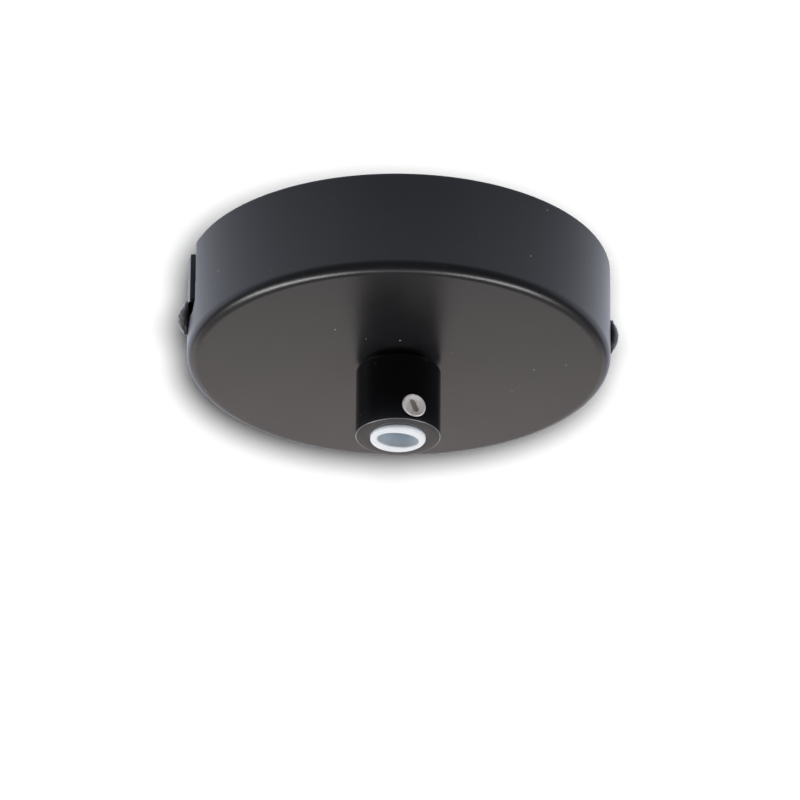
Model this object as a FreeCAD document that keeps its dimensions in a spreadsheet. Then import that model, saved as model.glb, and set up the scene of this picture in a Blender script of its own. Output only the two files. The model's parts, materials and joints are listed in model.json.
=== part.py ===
# Ceiling rose: a steel cup twisted on to two side screws of a ceiling bracket,
# with a terminal block inside and a cord grip under it.
# Millimetres. Z points up, z = 0 is the ceiling, the bracket runs along X.
import FreeCAD, Part
import math
import os
import re
import Sketcher
from FreeCAD import Vector

SIZES = [
    ("cup_diameter", 100.0, "over the painted wall"),
    ("cup_depth", 25.0, "ceiling to the flat face"),
    ("cup_wall", 1.2, "sheet with its paint"),
    ("cup_edge_radius", 2.6, "outside radius between wall and face"),
    ("cup_rim_chamfer", 0.2, "broken outer edge of the rim"),
    ("outlet_diameter", 10.4, "hole for the nipple in the cup's face"),
    ("bayonet_turn", 8.9, "degrees from the screw to the channel's middle"),
    ("channel_width", 6.3, "open way from the rim down to the leg"),
    ("leg_height", 4.8, "level part of the slot that the screw sits in"),
    ("slot_corner", 1.4, "rounding where the channel turns into the leg"),
    ("screw_level", 14.75, "side screws below the ceiling"),
    ("side_thread", 4.0, "side screw over its thread"),
    ("side_length", 8.0, "side screw under its head"),
    ("side_head_diameter", 7.0, "domed head"),
    ("side_head_height", 1.5, "domed head"),
    ("side_head_side", 0.17, "straight side under the dome"),
    ("cross_width", 0.9, "arm of the cross recess"),
    ("cross_span", 4.0, "end to end of the cross recess"),
    ("cross_depth", 0.9, "depth of the cross recess"),
    ("washer_diameter", 8.0, "plain washer under the domed head"),
    ("washer_thickness", 0.65, "plain washer under the domed head"),
    ("thread_tip", 0.4, "chamfer at the tip of a screw's thread"),
    ("seat_gap", 0.1, "washer to the round wall"),
    ("thread_gap", 0.05, "radial gap between a thread and its tapped hole"),
    ("tab_gap", 1.5, "cup's inner wall to the outside of each tab"),
    ("strip_width", 15.0, "bracket strip"),
    ("strip_thickness", 1.5, "bracket strip"),
    ("bend_radius", 1.2, "inside radius of each bend"),
    ("tab_drop", 20.0, "ceiling to the tip of a tab"),
    ("tab_corner", 3.0, "rounded corners of tabs and ears"),
    ("neck_diameter", 6.8, "drawn neck round a tapped hole"),
    ("neck_height", 1.5, "drawn neck inside the tab"),
    ("ceiling_spacing", 54.0, "between the two ceiling slots"),
    ("ceiling_slot_length", 20.0, "end to end"),
    ("ceiling_slot_width", 5.0, "for a ceiling screw's shank"),
    ("cable_hole", 10.5, "middle hole for the ceiling cable"),
    ("ear_width", 18.0, "flat ear that carries the terminal block"),
    ("earth_tab_width", 12.0, "bent ear that carries the earth screw"),
    ("earth_tab_reach", 3.5, "strip's edge to the outside of the earth tab"),
    ("earth_tab_drop", 13.5, "ceiling to the tip of the earth tab"),
    ("earth_level", 8.5, "earth screw below the ceiling"),
    ("earth_thread", 4.0, "earth screw over its thread"),
    ("earth_length", 8.0, "earth screw under its head"),
    ("earth_head_diameter", 7.0, "cheese head"),
    ("earth_head_height", 2.4, "cheese head"),
    ("clamp_plate", 8.6, "cupped washer of the earth screw"),
    ("clamp_plate_thickness", 0.8, "cupped washer of the earth screw"),
    ("clamp_plate_lip", 0.7, "rim of the cupped washer"),
    ("pole_pitch", 11.0, "between the poles of the terminal block"),
    ("barrel_diameter", 6.2, "plastic round each brass sleeve"),
    ("barrel_level", 4.9, "middle of a barrel below the block's seat"),
    ("block_depth", 16.0, "wire end to wire end"),
    ("block_base", 3.0, "plate that joins the poles"),
    ("block_height", 12.6, "seat to the end of the screw towers"),
    ("block_offset", 9.0, "bracket's middle line to the block's near side"),
    ("tower_diameter", 5.6, "tower round each terminal screw"),
    ("tower_spacing", 8.0, "between the two towers of a pole"),
    ("sleeve_diameter", 4.2, "brass sleeve"),
    ("sleeve_bore", 2.9, "wire hole of the sleeve"),
    ("sleeve_length", 14.0, "brass sleeve"),
    ("pole_thread", 2.6, "terminal screw over its thread"),
    ("pole_head", 3.4, "terminal screw's head"),
    ("pole_head_height", 1.6, "terminal screw's head"),
    ("pole_screw_length", 4.4, "terminal screw under its head"),
    ("part_gap", 0.1, "side gap of a loose piece in its seat"),
    ("fixing_thread", 2.6, "screw that holds the terminal block"),
    ("fixing_head", 4.4, "screw that holds the terminal block"),
    ("fixing_head_height", 1.6, "screw that holds the terminal block"),
    ("slot_width", 0.8, "driver slot of the small screws"),
    ("slot_depth", 0.8, "driver slot of the small screws"),
    ("nipple_diameter", 10.0, "over the nipple's thread"),
    ("nipple_bore", 7.6, "cord's way through the nipple"),
    ("nipple_length", 9.0, "end to end"),
    ("nipple_drop", 3.5, "how far the nipple reaches below the cup's face"),
    ("nipple_chamfer", 0.5, "ends of the nipple's thread"),
    ("tooth_washer_diameter", 15.5, "over the teeth"),
    ("tooth_washer_thickness", 0.8, "toothed washer"),
    ("tooth_count", 12, "notches between the teeth"),
    ("tooth_notch_width", 1.4, "notch between two teeth"),
    ("tooth_notch_depth", 1.8, "notch between two teeth"),
    ("nut_flats", 14.0, "across the lock nut's flats"),
    ("nut_height", 3.0, "lock nut"),
    ("collar_diameter", 20.0, "cord grip"),
    ("collar_height", 17.0, "cord grip below its neck"),
    ("collar_neck_diameter", 11.6, "turned neck that stands on the cup's face"),
    ("collar_neck_height", 1.5, "turned neck that stands on the cup's face"),
    ("collar_web", 4.0, "tapped end of the cord grip with its neck"),
    ("collar_edge", 0.3, "chamfer of the cord grip's ends"),
    ("insert_diameter", 13.0, "nylon insert"),
    ("insert_proud", 0.9, "insert beyond the cord grip's end"),
    ("insert_edge", 0.3, "chamfer of the insert's open end"),
    ("cord_long", 10.0, "long way across the oval cord hole"),
    ("cord_short", 7.5, "short way, towards the clamp screw"),
    ("clamp_azimuth", -72.3, "degrees from +X to the clamp screw"),
    ("clamp_rise", 3.9, "clamp screw's axis above the cord grip's end"),
    ("clamp_thread", 5.8, "clamp screw over its thread"),
    ("clamp_length", 5.9, "clamp screw end to end"),
    ("clamp_proud", 0.1, "screw's face beyond the round of the cord grip"),
    ("clamp_chamfer", 0.35, "edge of the clamp screw's face"),
    ("clamp_slot_width", 1.5, "closed driver slot"),
    ("clamp_slot_length", 3.4, "closed driver slot"),
    ("clamp_slot_depth", 0.8, "closed driver slot"),
    ("clamp_slot_lean", 25.0, "degrees that the slot leans from upright"),
]
NAMES = {name for name, number, note in SIZES}

doc = FreeCAD.newDocument("CeilingRose")
sheet = doc.addObject("Spreadsheet::Sheet", "Sizes")
for row, (name, number, note) in enumerate(SIZES, start=1):
    sheet.set(f"A{row}", name)
    sheet.set(f"B{row}", str(number))
    sheet.set(f"C{row}", note)
    sheet.setAlias(f"B{row}", name)
doc.recompute()

bodies = []


# A size expression: every alias gets the sheet's name in front of it.
def bound(text):
    return re.sub(r"[a-z_]+", lambda m: "Sizes." + m[0] if m[0] in NAMES else m[0], str(text))


# The number that an expression of sizes comes to now.
def number_of(text):
    return float(eval_holder.evalExpression(bound(text)))


eval_holder = doc.addObject("App::FeaturePython", "Reader")


def bind(feature, **sizes):
    for key, text in sizes.items():
        feature.setExpression(key.replace("__", "."), bound(text))


def make_body(name, **place):
    body = doc.addObject("PartDesign::Body", name)
    body.Label = name
    bind(body, **place)
    bodies.append(body)
    return body


# A sketch on one of the body's own planes, moved along the plane's normal.
def sketch_on(body, role, name, offset="0"):
    plane = next(f for f in body.Origin.OriginFeatures if f.Role == role)
    sketch = body.newObject("Sketcher::SketchObject", body.Name + "_" + name)
    sketch.AttachmentSupport = [(plane, "")]
    sketch.MapMode = "FlatFace"
    bind(sketch, AttachmentOffset__Base__z=offset)
    return sketch


def fix(sketch, kind, geometry, point, text):
    value = number_of(text)
    index = sketch.addConstraint(Sketcher.Constraint(kind, -1, 1, geometry, point, value))
    sketch.setExpression(f"Constraints[{index}]", bound(text))


# An arc about the X axis, from the top of a dome on that axis to the dome's rim.
def dome_side(top, rim):
    height = top.x - rim.x
    radius = (height ** 2 + rim.y ** 2) / (2 * height)
    centre = Vector(top.x - radius, 0, 0)
    whole = Part.Circle(centre, Vector(0, 0, 1), radius)
    return Part.ArcOfCircle(whole, 0, math.atan2(rim.y, rim.x - centre.x))


# A closed outline of straight lines whose corners are pairs of size expressions.
# A domed one starts with an arc whose centre is on the sketch's X axis.
def outline(sketch, corners, domed=False):
    spots = [Vector(number_of(x), number_of(y), 0) for x, y in corners]
    first = sketch.GeometryCount
    count = len(corners)
    for i, spot in enumerate(spots):
        after = spots[(i + 1) % count]
        side = dome_side(spot, after) if domed and i == 0 else Part.LineSegment(spot, after)
        sketch.addGeometry(side, False)
    for i in range(count):
        after = first + (i + 1) % count
        sketch.addConstraint(Sketcher.Constraint("Coincident", first + i, 2, after, 1))
    for i, (x, y) in enumerate(corners):
        fix(sketch, "DistanceX", first + i, 1, x)
        fix(sketch, "DistanceY", first + i, 1, y)
    if domed:
        fix(sketch, "DistanceY", first, 3, "0")


def rectangle(sketch, x_low, x_high, y_low, y_high):
    outline(sketch, [(x_low, y_low), (x_high, y_low), (x_high, y_high), (x_low, y_high)])


def circle(sketch, x, y, radius):
    centre = Vector(number_of(x), number_of(y), 0)
    index = sketch.addGeometry(Part.Circle(centre, Vector(0, 0, 1), number_of(radius)), False)
    mark = sketch.addConstraint(Sketcher.Constraint("Radius", index, number_of(radius)))
    sketch.setExpression(f"Constraints[{mark}]", bound(radius))
    fix(sketch, "DistanceX", index, 3, x)
    fix(sketch, "DistanceY", index, 3, y)


# A round-ended slot between two end centres.
def round_slot(sketch, start, end, radius):
    a = Vector(number_of(start[0]), number_of(start[1]), 0)
    b = Vector(number_of(end[0]), number_of(end[1]), 0)
    r = number_of(radius)
    along = (b - a).normalize()
    side = Vector(-along.y, along.x, 0) * r
    angle = math.atan2(along.y, along.x)
    up = Vector(0, 0, 1)
    quarter = math.pi / 2
    first = sketch.GeometryCount
    cap_b = Part.ArcOfCircle(Part.Circle(b, up, r), angle - quarter, angle + quarter)
    cap_a = Part.ArcOfCircle(Part.Circle(a, up, r), angle + quarter, angle + 3 * quarter)
    sketch.addGeometry(Part.LineSegment(a - side, b - side), False)
    sketch.addGeometry(cap_b, False)
    sketch.addGeometry(Part.LineSegment(b + side, a + side), False)
    sketch.addGeometry(cap_a, False)
    for i in range(4):
        after = first + (i + 1) % 4
        sketch.addConstraint(Sketcher.Constraint("Tangent", first + i, 2, after, 1))
    fix(sketch, "DistanceX", first + 1, 3, end[0])
    fix(sketch, "DistanceY", first + 1, 3, end[1])
    fix(sketch, "DistanceX", first + 3, 3, start[0])
    fix(sketch, "DistanceY", first + 3, 3, start[1])
    mark = sketch.addConstraint(Sketcher.Constraint("Radius", first + 1, r))
    sketch.setExpression(f"Constraints[{mark}]", bound(radius))


def revolve(body, sketch, axis):
    feature = body.newObject("PartDesign::Revolution", sketch.Name + "_turn")
    feature.Profile = sketch
    feature.ReferenceAxis = (sketch, [axis])
    feature.Angle = 360
    return feature


def pad(body, sketch, length, both_ways=False, backwards=False):
    feature = body.newObject("PartDesign::Pad", sketch.Name + "_pad")
    feature.Profile = sketch
    bind(feature, Length=length)
    feature.SideType = "Symmetric" if both_ways else "One side"
    feature.Reversed = backwards
    return feature


# A cut, which has to take something away.
def pocket(body, sketch, depth, both_ways=False, backwards=False):
    doc.recompute()
    before = body.Shape.Volume
    feature = body.newObject("PartDesign::Pocket", sketch.Name + "_cut")
    feature.Profile = sketch
    bind(feature, Length=depth)
    feature.SideType = "Symmetric" if both_ways else "One side"
    feature.Reversed = backwards
    doc.recompute()
    if body.Shape.Volume >= before - 1e-6:
        raise RuntimeError(feature.Name + " cuts nothing")
    return feature


def names_of_edges(body, wanted):
    doc.recompute()
    return [f"Edge{i}" for i, edge in enumerate(body.Tip.Shape.Edges, start=1) if wanted(edge)]


def round_edges(body, wanted, radius, kind="Fillet"):
    edges = names_of_edges(body, wanted)
    if not edges:
        raise RuntimeError("no edge to finish on " + body.Name)
    base = body.Tip
    feature = body.newObject("PartDesign::" + kind, f"{body.Name}_{kind}{len(body.Group)}")
    feature.Base = (base, edges)
    bind(feature, **{"Radius" if kind == "Fillet" else "Size": radius})
    return feature


def is_ring(edge, radius, height=None):
    if not isinstance(edge.Curve, Part.Circle) or len(edge.Vertexes) > 1:
        return False
    if abs(edge.Curve.Radius - radius) > 1e-4:
        return False
    return height is None or abs(edge.Curve.Center.z - height) < 1e-4


def line_along(edge, axis):
    if not isinstance(edge.Curve, Part.Line):
        return False
    ends = [v.Point for v in edge.Vertexes]
    return (ends[1] - ends[0]).cross(axis).Length < 1e-6


# A turned piece whose axis is the body's own X or Z: corners are (along, radius).
def turned(name, corners, axis="X", domed=False, **place):
    body = make_body(name, **place)
    if axis == "X":
        sketch = sketch_on(body, "XY_Plane", "profile")
        outline(sketch, corners, domed)
        revolve(body, sketch, "H_Axis")
    else:
        sketch = sketch_on(body, "XZ_Plane", "profile")
        outline(sketch, [(radius, along) for along, radius in corners])
        revolve(body, sketch, "V_Axis")
    return body


X_WAY = Vector(1, 0, 0)
Y_WAY = Vector(0, 1, 0)
Z_WAY = Vector(0, 0, 1)

CUP_R = "cup_diameter / 2"
CUP_FACE = "-cup_depth"
CUP_FLOOR = "(cup_wall - cup_depth)"
TAB_X = "(cup_diameter / 2 - cup_wall - tab_gap)"
COLLAR_TOP = "(-cup_depth - collar_neck_height)"
COLLAR_END = "(-cup_depth - collar_neck_height - collar_height)"
CLAMP_Z = "(-cup_depth - collar_neck_height - collar_height + clamp_rise)"
BLOCK_SEAT = "-strip_thickness"
BLOCK_MIDDLE = "(block_offset + block_depth / 2)"
BARREL_Z = "(-strip_thickness - barrel_level)"
TOWER_END = "(-strip_thickness - block_height)"
EARTH_Y = "(strip_width / 2 + earth_tab_reach)"
WASHER_IN = "(cup_diameter / 2 + seat_gap)"
HEAD_SEAT = "(cup_diameter / 2 + seat_gap + washer_thickness)"


# Drawn cup: one sheet, a round edge, and an L-shaped slot at each side screw.
def build_cup():
    body = turned("canopy_cup", [
        ("0", CUP_R),
        (CUP_FACE, CUP_R),
        (CUP_FACE, "outlet_diameter / 2"),
        (CUP_FLOOR, "outlet_diameter / 2"),
        (CUP_FLOOR, CUP_R + " - cup_wall"),
        ("0", CUP_R + " - cup_wall"),
    ], axis="Z")
    outer = number_of(CUP_R)
    inner = number_of(CUP_R + " - cup_wall")
    face = number_of(CUP_FACE)
    floor = number_of(CUP_FLOOR)
    round_edges(body, lambda e: is_ring(e, outer, face), "cup_edge_radius")
    round_edges(body, lambda e: is_ring(e, inner, floor), "cup_edge_radius - cup_wall")
    round_edges(body, lambda e: is_ring(e, outer, 0), "cup_rim_chamfer", kind="Chamfer")
    sketch = sketch_on(body, "YZ_Plane", "bayonet")
    middle = CUP_R + " * sin(bayonet_turn * 1 deg)"
    near = middle + " - channel_width / 2"
    far = middle + " + channel_width / 2"
    low = "-screw_level - leg_height / 2"
    high = "-screw_level + leg_height / 2"
    outline(sketch, [
        ("0", low), (far, low), (far, "1"), (near, "1"), (near, high), ("0", high),
    ])
    leg = pocket(body, sketch, "cup_diameter / 2 + 1", backwards=True)
    end = sketch_on(body, "YZ_Plane", "leg_end")
    circle(end, "0", "-screw_level", "leg_height / 2")
    round_end = pocket(body, end, "cup_diameter / 2 + 1", backwards=True)
    far_y = number_of(far)
    low_z = number_of(low)
    high_z = number_of(high)
    near_y = number_of(near)

    def is_outer_corner(edge):
        at = edge.CenterOfMass
        return line_along(edge, X_WAY) and abs(at.y - far_y) < 1e-3 and abs(at.z - low_z) < 1e-3

    def is_inner_corner(edge):
        at = edge.CenterOfMass
        return line_along(edge, X_WAY) and abs(at.y - near_y) < 1e-3 and abs(at.z - high_z) < 1e-3

    outer_round = round_edges(body, is_outer_corner, "slot_corner")
    inner_round = round_edges(body, is_inner_corner, "slot_corner / 2")
    pattern = body.newObject("PartDesign::PolarPattern", "canopy_cup_two_sides")
    pattern.Originals = [leg, round_end, outer_round, inner_round]
    axis = next(f for f in body.Origin.OriginFeatures if f.Role == "Z_Axis")
    pattern.Axis = (axis, [""])
    pattern.Angle = 360
    pattern.Occurrences = 2
    body.Tip = pattern


# Folded strip: two tabs with drawn tapped necks, a flat ear and a bent earth tab.
def build_bracket():
    body = make_body("mounting_bracket")
    section = sketch_on(body, "XZ_Plane", "section")
    inside = TAB_X + " - strip_thickness"
    outline(section, [
        ("-" + TAB_X, "0"), (TAB_X, "0"), (TAB_X, "-tab_drop"), (inside, "-tab_drop"),
        (inside, "-strip_thickness"), ("-(" + inside + ")", "-strip_thickness"),
        ("-(" + inside + ")", "-tab_drop"), ("-" + TAB_X, "-tab_drop"),
    ])
    pad(body, section, "strip_width", both_ways=True)
    outer_x = number_of(TAB_X)
    inner_x = number_of(inside)
    sheet_z = -number_of("strip_thickness")

    def is_bend(edge, at_x, at_z):
        at = edge.CenterOfMass
        return line_along(edge, Y_WAY) and abs(abs(at.x) - at_x) < 1e-4 and abs(at.z - at_z) < 1e-4

    round_edges(body, lambda e: is_bend(e, outer_x, 0), "bend_radius + strip_thickness")
    round_edges(body, lambda e: is_bend(e, inner_x, sheet_z), "bend_radius")
    tip_z = -number_of("tab_drop")

    def is_tab_corner(edge):
        return line_along(edge, X_WAY) and abs(edge.CenterOfMass.z - tip_z) < 1e-4

    round_edges(body, is_tab_corner, "tab_corner")

    ear = sketch_on(body, "XY_Plane", "ear", "-strip_thickness")
    rectangle(ear, "-ear_width / 2", "ear_width / 2", "0", "block_offset + block_depth")
    pad(body, ear, "strip_thickness")
    ear_y = number_of("block_offset + block_depth")

    def is_ear_corner(edge):
        return line_along(edge, Z_WAY) and abs(edge.CenterOfMass.y - ear_y) < 1e-4

    round_edges(body, is_ear_corner, "tab_corner")

    fold = sketch_on(body, "YZ_Plane", "earth_section")
    outline(fold, [
        ("0", "0"), ("-" + EARTH_Y, "0"), ("-" + EARTH_Y, "-earth_tab_drop"),
        ("strip_thickness - " + EARTH_Y, "-earth_tab_drop"),
        ("strip_thickness - " + EARTH_Y, "-strip_thickness"), ("0", "-strip_thickness"),
    ])
    pad(body, fold, "earth_tab_width", both_ways=True)
    fold_out = -number_of(EARTH_Y)
    fold_in = number_of("strip_thickness - " + EARTH_Y)
    earth_tip = -number_of("earth_tab_drop")

    def is_fold(edge, at_y, at_z):
        at = edge.CenterOfMass
        return line_along(edge, X_WAY) and abs(at.y - at_y) < 1e-4 and abs(at.z - at_z) < 1e-4

    round_edges(body, lambda e: is_fold(e, fold_out, 0), "bend_radius + strip_thickness")
    round_edges(body, lambda e: is_fold(e, fold_in, sheet_z), "bend_radius")

    def is_earth_corner(edge):
        return line_along(edge, Y_WAY) and abs(edge.CenterOfMass.z - earth_tip) < 1e-4

    round_edges(body, is_earth_corner, "tab_corner")

    necks = sketch_on(body, "YZ_Plane", "necks")
    circle(necks, "0", "-screw_level", "neck_diameter / 2")
    pad(body, necks, "2 * (" + TAB_X + " - strip_thickness / 2)", both_ways=True)
    gap = sketch_on(body, "YZ_Plane", "between_necks")
    circle(gap, "0", "-screw_level", "neck_diameter")
    pocket(body, gap, "2 * (" + TAB_X + " - strip_thickness - neck_height)", both_ways=True)
    tapped = sketch_on(body, "YZ_Plane", "tapped")
    circle(tapped, "0", "-screw_level", "side_thread / 2 + thread_gap")
    pocket(body, tapped, "cup_diameter", both_ways=True)

    holes = sketch_on(body, "XY_Plane", "holes")
    reach = "(ceiling_slot_length - ceiling_slot_width) / 2"
    for side in ("", "-"):
        middle = side + "ceiling_spacing / 2"
        start = (middle + " - " + reach, "0")
        end = (middle + " + " + reach, "0")
        round_slot(holes, start, end, "ceiling_slot_width / 2")
    circle(holes, "0", "0", "cable_hole / 2")
    circle(holes, "pole_pitch / 2", BLOCK_MIDDLE, "fixing_thread / 2 + thread_gap")
    pocket(body, holes, "strip_thickness + 2", both_ways=True)
    earth = sketch_on(body, "XZ_Plane", "earth_hole")
    circle(earth, "0", "-earth_level", "earth_thread / 2 + thread_gap")
    pocket(body, earth, EARTH_Y + " + 1", backwards=True)


# Side screw with a cross recess, and its washer; the pair is turned about Z.
def build_side_screw(side, angle):
    place = {"Placement__Rotation__Angle": angle}
    screw = turned("side_screw_" + side, [
        (HEAD_SEAT + " + side_head_height", "0"),
        (HEAD_SEAT + " + side_head_side", "side_head_diameter / 2"),
        (HEAD_SEAT, "side_head_diameter / 2"),
        (HEAD_SEAT, "side_thread / 2"),
        (HEAD_SEAT + " - side_length + thread_tip", "side_thread / 2"),
        (HEAD_SEAT + " - side_length", "side_thread / 2 - thread_tip"),
        (HEAD_SEAT + " - side_length", "0"),
    ], domed=True, Placement__Base__z="-screw_level", **place)
    arms = sketch_on(screw, "YZ_Plane", "cross", HEAD_SEAT + " + side_head_height")
    w = "cross_width / 2"
    a = "cross_span / 2"
    outline(arms, [
        ("-" + w, "-" + a), (w, "-" + a), (w, "-" + w), (a, "-" + w),
        (a, w), (w, w), (w, a), ("-" + w, a),
        ("-" + w, w), ("-" + a, w), ("-" + a, "-" + w), ("-" + w, "-" + w),
    ])
    pocket(screw, arms, "cross_depth")
    turned("side_washer_" + side, [
        (WASHER_IN, "side_thread / 2 + part_gap"),
        (WASHER_IN, "washer_diameter / 2"),
        (HEAD_SEAT, "washer_diameter / 2"),
        (HEAD_SEAT, "side_thread / 2 + part_gap"),
    ], Placement__Base__z="-screw_level", **place)


# Driver slot across the head of a screw whose axis is the body's X or Z.
def cut_driver_slot(body, role, face, width, head, backwards):
    sketch = sketch_on(body, role, "driver_slot", face)
    long = head + " / 2 + 1"
    rectangle(sketch, "-" + width + " / 2", width + " / 2", "-(" + long + ")", long)
    pocket(body, sketch, "slot_depth", backwards=backwards)


# Earth screw on the bent tab, head outwards, with its cupped washer.
def build_earth_screw():
    seat = EARTH_Y + " + clamp_plate_lip + clamp_plate_thickness"
    place = {"Placement__Base__z": "-earth_level", "Placement__Rotation__Angle": "-90"}
    screw = turned("earth_screw", [
        (seat + " - earth_length", "0"),
        (seat + " - earth_length", "earth_thread / 2 - thread_tip"),
        (seat + " - earth_length + thread_tip", "earth_thread / 2"),
        (seat, "earth_thread / 2"),
        (seat, "earth_head_diameter / 2"),
        (seat + " + earth_head_height", "earth_head_diameter / 2"),
        (seat + " + earth_head_height", "0"),
    ], **place)
    cut_driver_slot(screw, "YZ_Plane", seat + " + earth_head_height", "slot_width",
                    "earth_head_diameter", False)
    turned("earth_cup_washer", [
        (seat, "earth_thread / 2 + part_gap"),
        (seat, "clamp_plate / 2"),
        (EARTH_Y, "clamp_plate / 2"),
        (EARTH_Y, "clamp_plate / 2 - clamp_plate_thickness"),
        (EARTH_Y + " + clamp_plate_lip", "clamp_plate / 2 - clamp_plate_thickness"),
        (EARTH_Y + " + clamp_plate_lip", "earth_thread / 2 + part_gap"),
    ], **place)


# Three-pole terminal block, moulded in one, seated under the flat ear.
def build_terminal_block():
    body = make_body("terminal_block_body")
    base = sketch_on(body, "XY_Plane", "base", BLOCK_SEAT + " - block_base")
    half = "pole_pitch + barrel_diameter / 2"
    rectangle(base, "-(" + half + ")", half, "block_offset", "block_offset + block_depth")
    pad(body, base, "block_base")
    poles = ["-pole_pitch", "0", "pole_pitch"]
    towers = [BLOCK_MIDDLE + sign + "tower_spacing / 2" for sign in (" - ", " + ")]
    barrels = sketch_on(body, "XZ_Plane", "barrels", "-(block_offset + block_depth)")
    for x in poles:
        circle(barrels, x, BARREL_Z, "barrel_diameter / 2")
    pad(body, barrels, "block_depth")
    stacks = sketch_on(body, "XY_Plane", "towers", TOWER_END)
    for x in poles:
        for y in towers:
            circle(stacks, x, y, "tower_diameter / 2")
    pad(body, stacks, "block_height - barrel_level")
    wires = sketch_on(body, "XZ_Plane", "wire_holes", "-" + BLOCK_MIDDLE)
    for x in poles:
        circle(wires, x, BARREL_Z, "sleeve_diameter / 2 + part_gap")
    pocket(body, wires, "block_depth + 2", both_ways=True)
    wells = sketch_on(body, "XY_Plane", "screw_wells", TOWER_END)
    for x in poles:
        for y in towers:
            circle(wells, x, y, "pole_head / 2 + part_gap")
    pocket(body, wells, "block_height - barrel_level", backwards=True)
    fixing = sketch_on(body, "XY_Plane", "fixing_holes", BLOCK_SEAT)
    for side in ("", "-"):
        circle(fixing, side + "pole_pitch / 2", BLOCK_MIDDLE, "fixing_thread / 2 + part_gap")
    pocket(body, fixing, "block_base + 1")

    for index, x in enumerate(poles, start=1):
        build_pole(index, x, towers)
    head = BLOCK_SEAT + " - block_base"
    screw = turned("terminal_fixing_screw", [
        (head + " - fixing_head_height", "0"),
        (head + " - fixing_head_height", "fixing_head / 2"),
        (head, "fixing_head / 2"),
        (head, "fixing_thread / 2"),
        ("-part_gap", "fixing_thread / 2"),
        ("-part_gap", "0"),
    ], axis="Z", Placement__Base__x="pole_pitch / 2", Placement__Base__y=BLOCK_MIDDLE)
    cut_driver_slot(screw, "XY_Plane", head + " - fixing_head_height", "slot_width",
                    "fixing_head", True)


# One pole: a brass sleeve with two tapped holes, and its two screws drawn back.
def build_pole(index, x, towers):
    radius = "sleeve_diameter / 2"
    sleeve = make_body(f"terminal_sleeve_{index}", Placement__Base__x=x,
                       Placement__Base__y=BLOCK_MIDDLE, Placement__Base__z=BARREL_Z)
    tube = sketch_on(sleeve, "XZ_Plane", "tube")
    circle(tube, "0", "0", radius)
    circle(tube, "0", "0", "sleeve_bore / 2")
    pad(sleeve, tube, "sleeve_length", both_ways=True)
    taps = sketch_on(sleeve, "XY_Plane", "taps")
    for sign in ("-", ""):
        circle(taps, "0", sign + "tower_spacing / 2", "pole_thread / 2 + thread_gap")
    pocket(sleeve, taps, radius + " + 1")
    under_head = "-sleeve_bore / 2 - part_gap - pole_screw_length"
    for place, y in enumerate(towers, start=1):
        screw = turned(f"terminal_screw_{2 * index - 2 + place}", [
            (under_head + " - pole_head_height", "0"),
            (under_head + " - pole_head_height", "pole_head / 2"),
            (under_head, "pole_head / 2"),
            (under_head, "pole_thread / 2"),
            ("-sleeve_bore / 2 - part_gap", "pole_thread / 2"),
            ("-sleeve_bore / 2 - part_gap", "0"),
        ], axis="Z", Placement__Base__x=x, Placement__Base__y=y, Placement__Base__z=BARREL_Z)
        cut_driver_slot(screw, "XY_Plane", under_head + " - pole_head_height", "slot_width",
                        "pole_head", True)


# Nipple through the cup's face, with the toothed washer and the lock nut above it.
def build_nipple():
    low = CUP_FACE + " - nipple_drop"
    high = low + " + nipple_length"
    nipple = turned("threaded_nipple", [
        (low, "nipple_bore / 2"), (low, "nipple_diameter / 2"),
        (high, "nipple_diameter / 2"), (high, "nipple_bore / 2"),
    ], axis="Z")
    thread = number_of("nipple_diameter / 2")
    round_edges(nipple, lambda e: is_ring(e, thread), "nipple_chamfer", kind="Chamfer")

    washer_top = CUP_FLOOR + " + tooth_washer_thickness"
    washer = turned("nipple_tooth_washer", [
        (CUP_FLOOR, "nipple_diameter / 2 + part_gap"), (CUP_FLOOR, "tooth_washer_diameter / 2"),
        (washer_top, "tooth_washer_diameter / 2"), (washer_top, "nipple_diameter / 2 + part_gap"),
    ], axis="Z")
    notch = sketch_on(washer, "XY_Plane", "notch", washer_top)
    rectangle(notch, "tooth_washer_diameter / 2 - tooth_notch_depth", "tooth_washer_diameter",
              "-tooth_notch_width / 2", "tooth_notch_width / 2")
    cut = pocket(washer, notch, "tooth_washer_thickness + 1")
    pattern = washer.newObject("PartDesign::PolarPattern", "tooth_pattern")
    pattern.Originals = [cut]
    axis = next(f for f in washer.Origin.OriginFeatures if f.Role == "Z_Axis")
    pattern.Axis = (axis, [""])
    pattern.Angle = 360
    bind(pattern, Occurrences="tooth_count")
    washer.Tip = pattern

    nut = make_body("nipple_lock_nut")
    across = sketch_on(nut, "XY_Plane", "hexagon", washer_top)
    corner = "nut_flats / 2 / cos(30 deg)"
    spots = []
    for step in range(6):
        turn = f"{60 * step + 30} deg"
        spots.append((f"{corner} * cos({turn})", f"{corner} * sin({turn})"))
    outline(across, spots)
    circle(across, "0", "0", "nipple_diameter / 2 + thread_gap")
    pad(nut, across, "nut_height")


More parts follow.
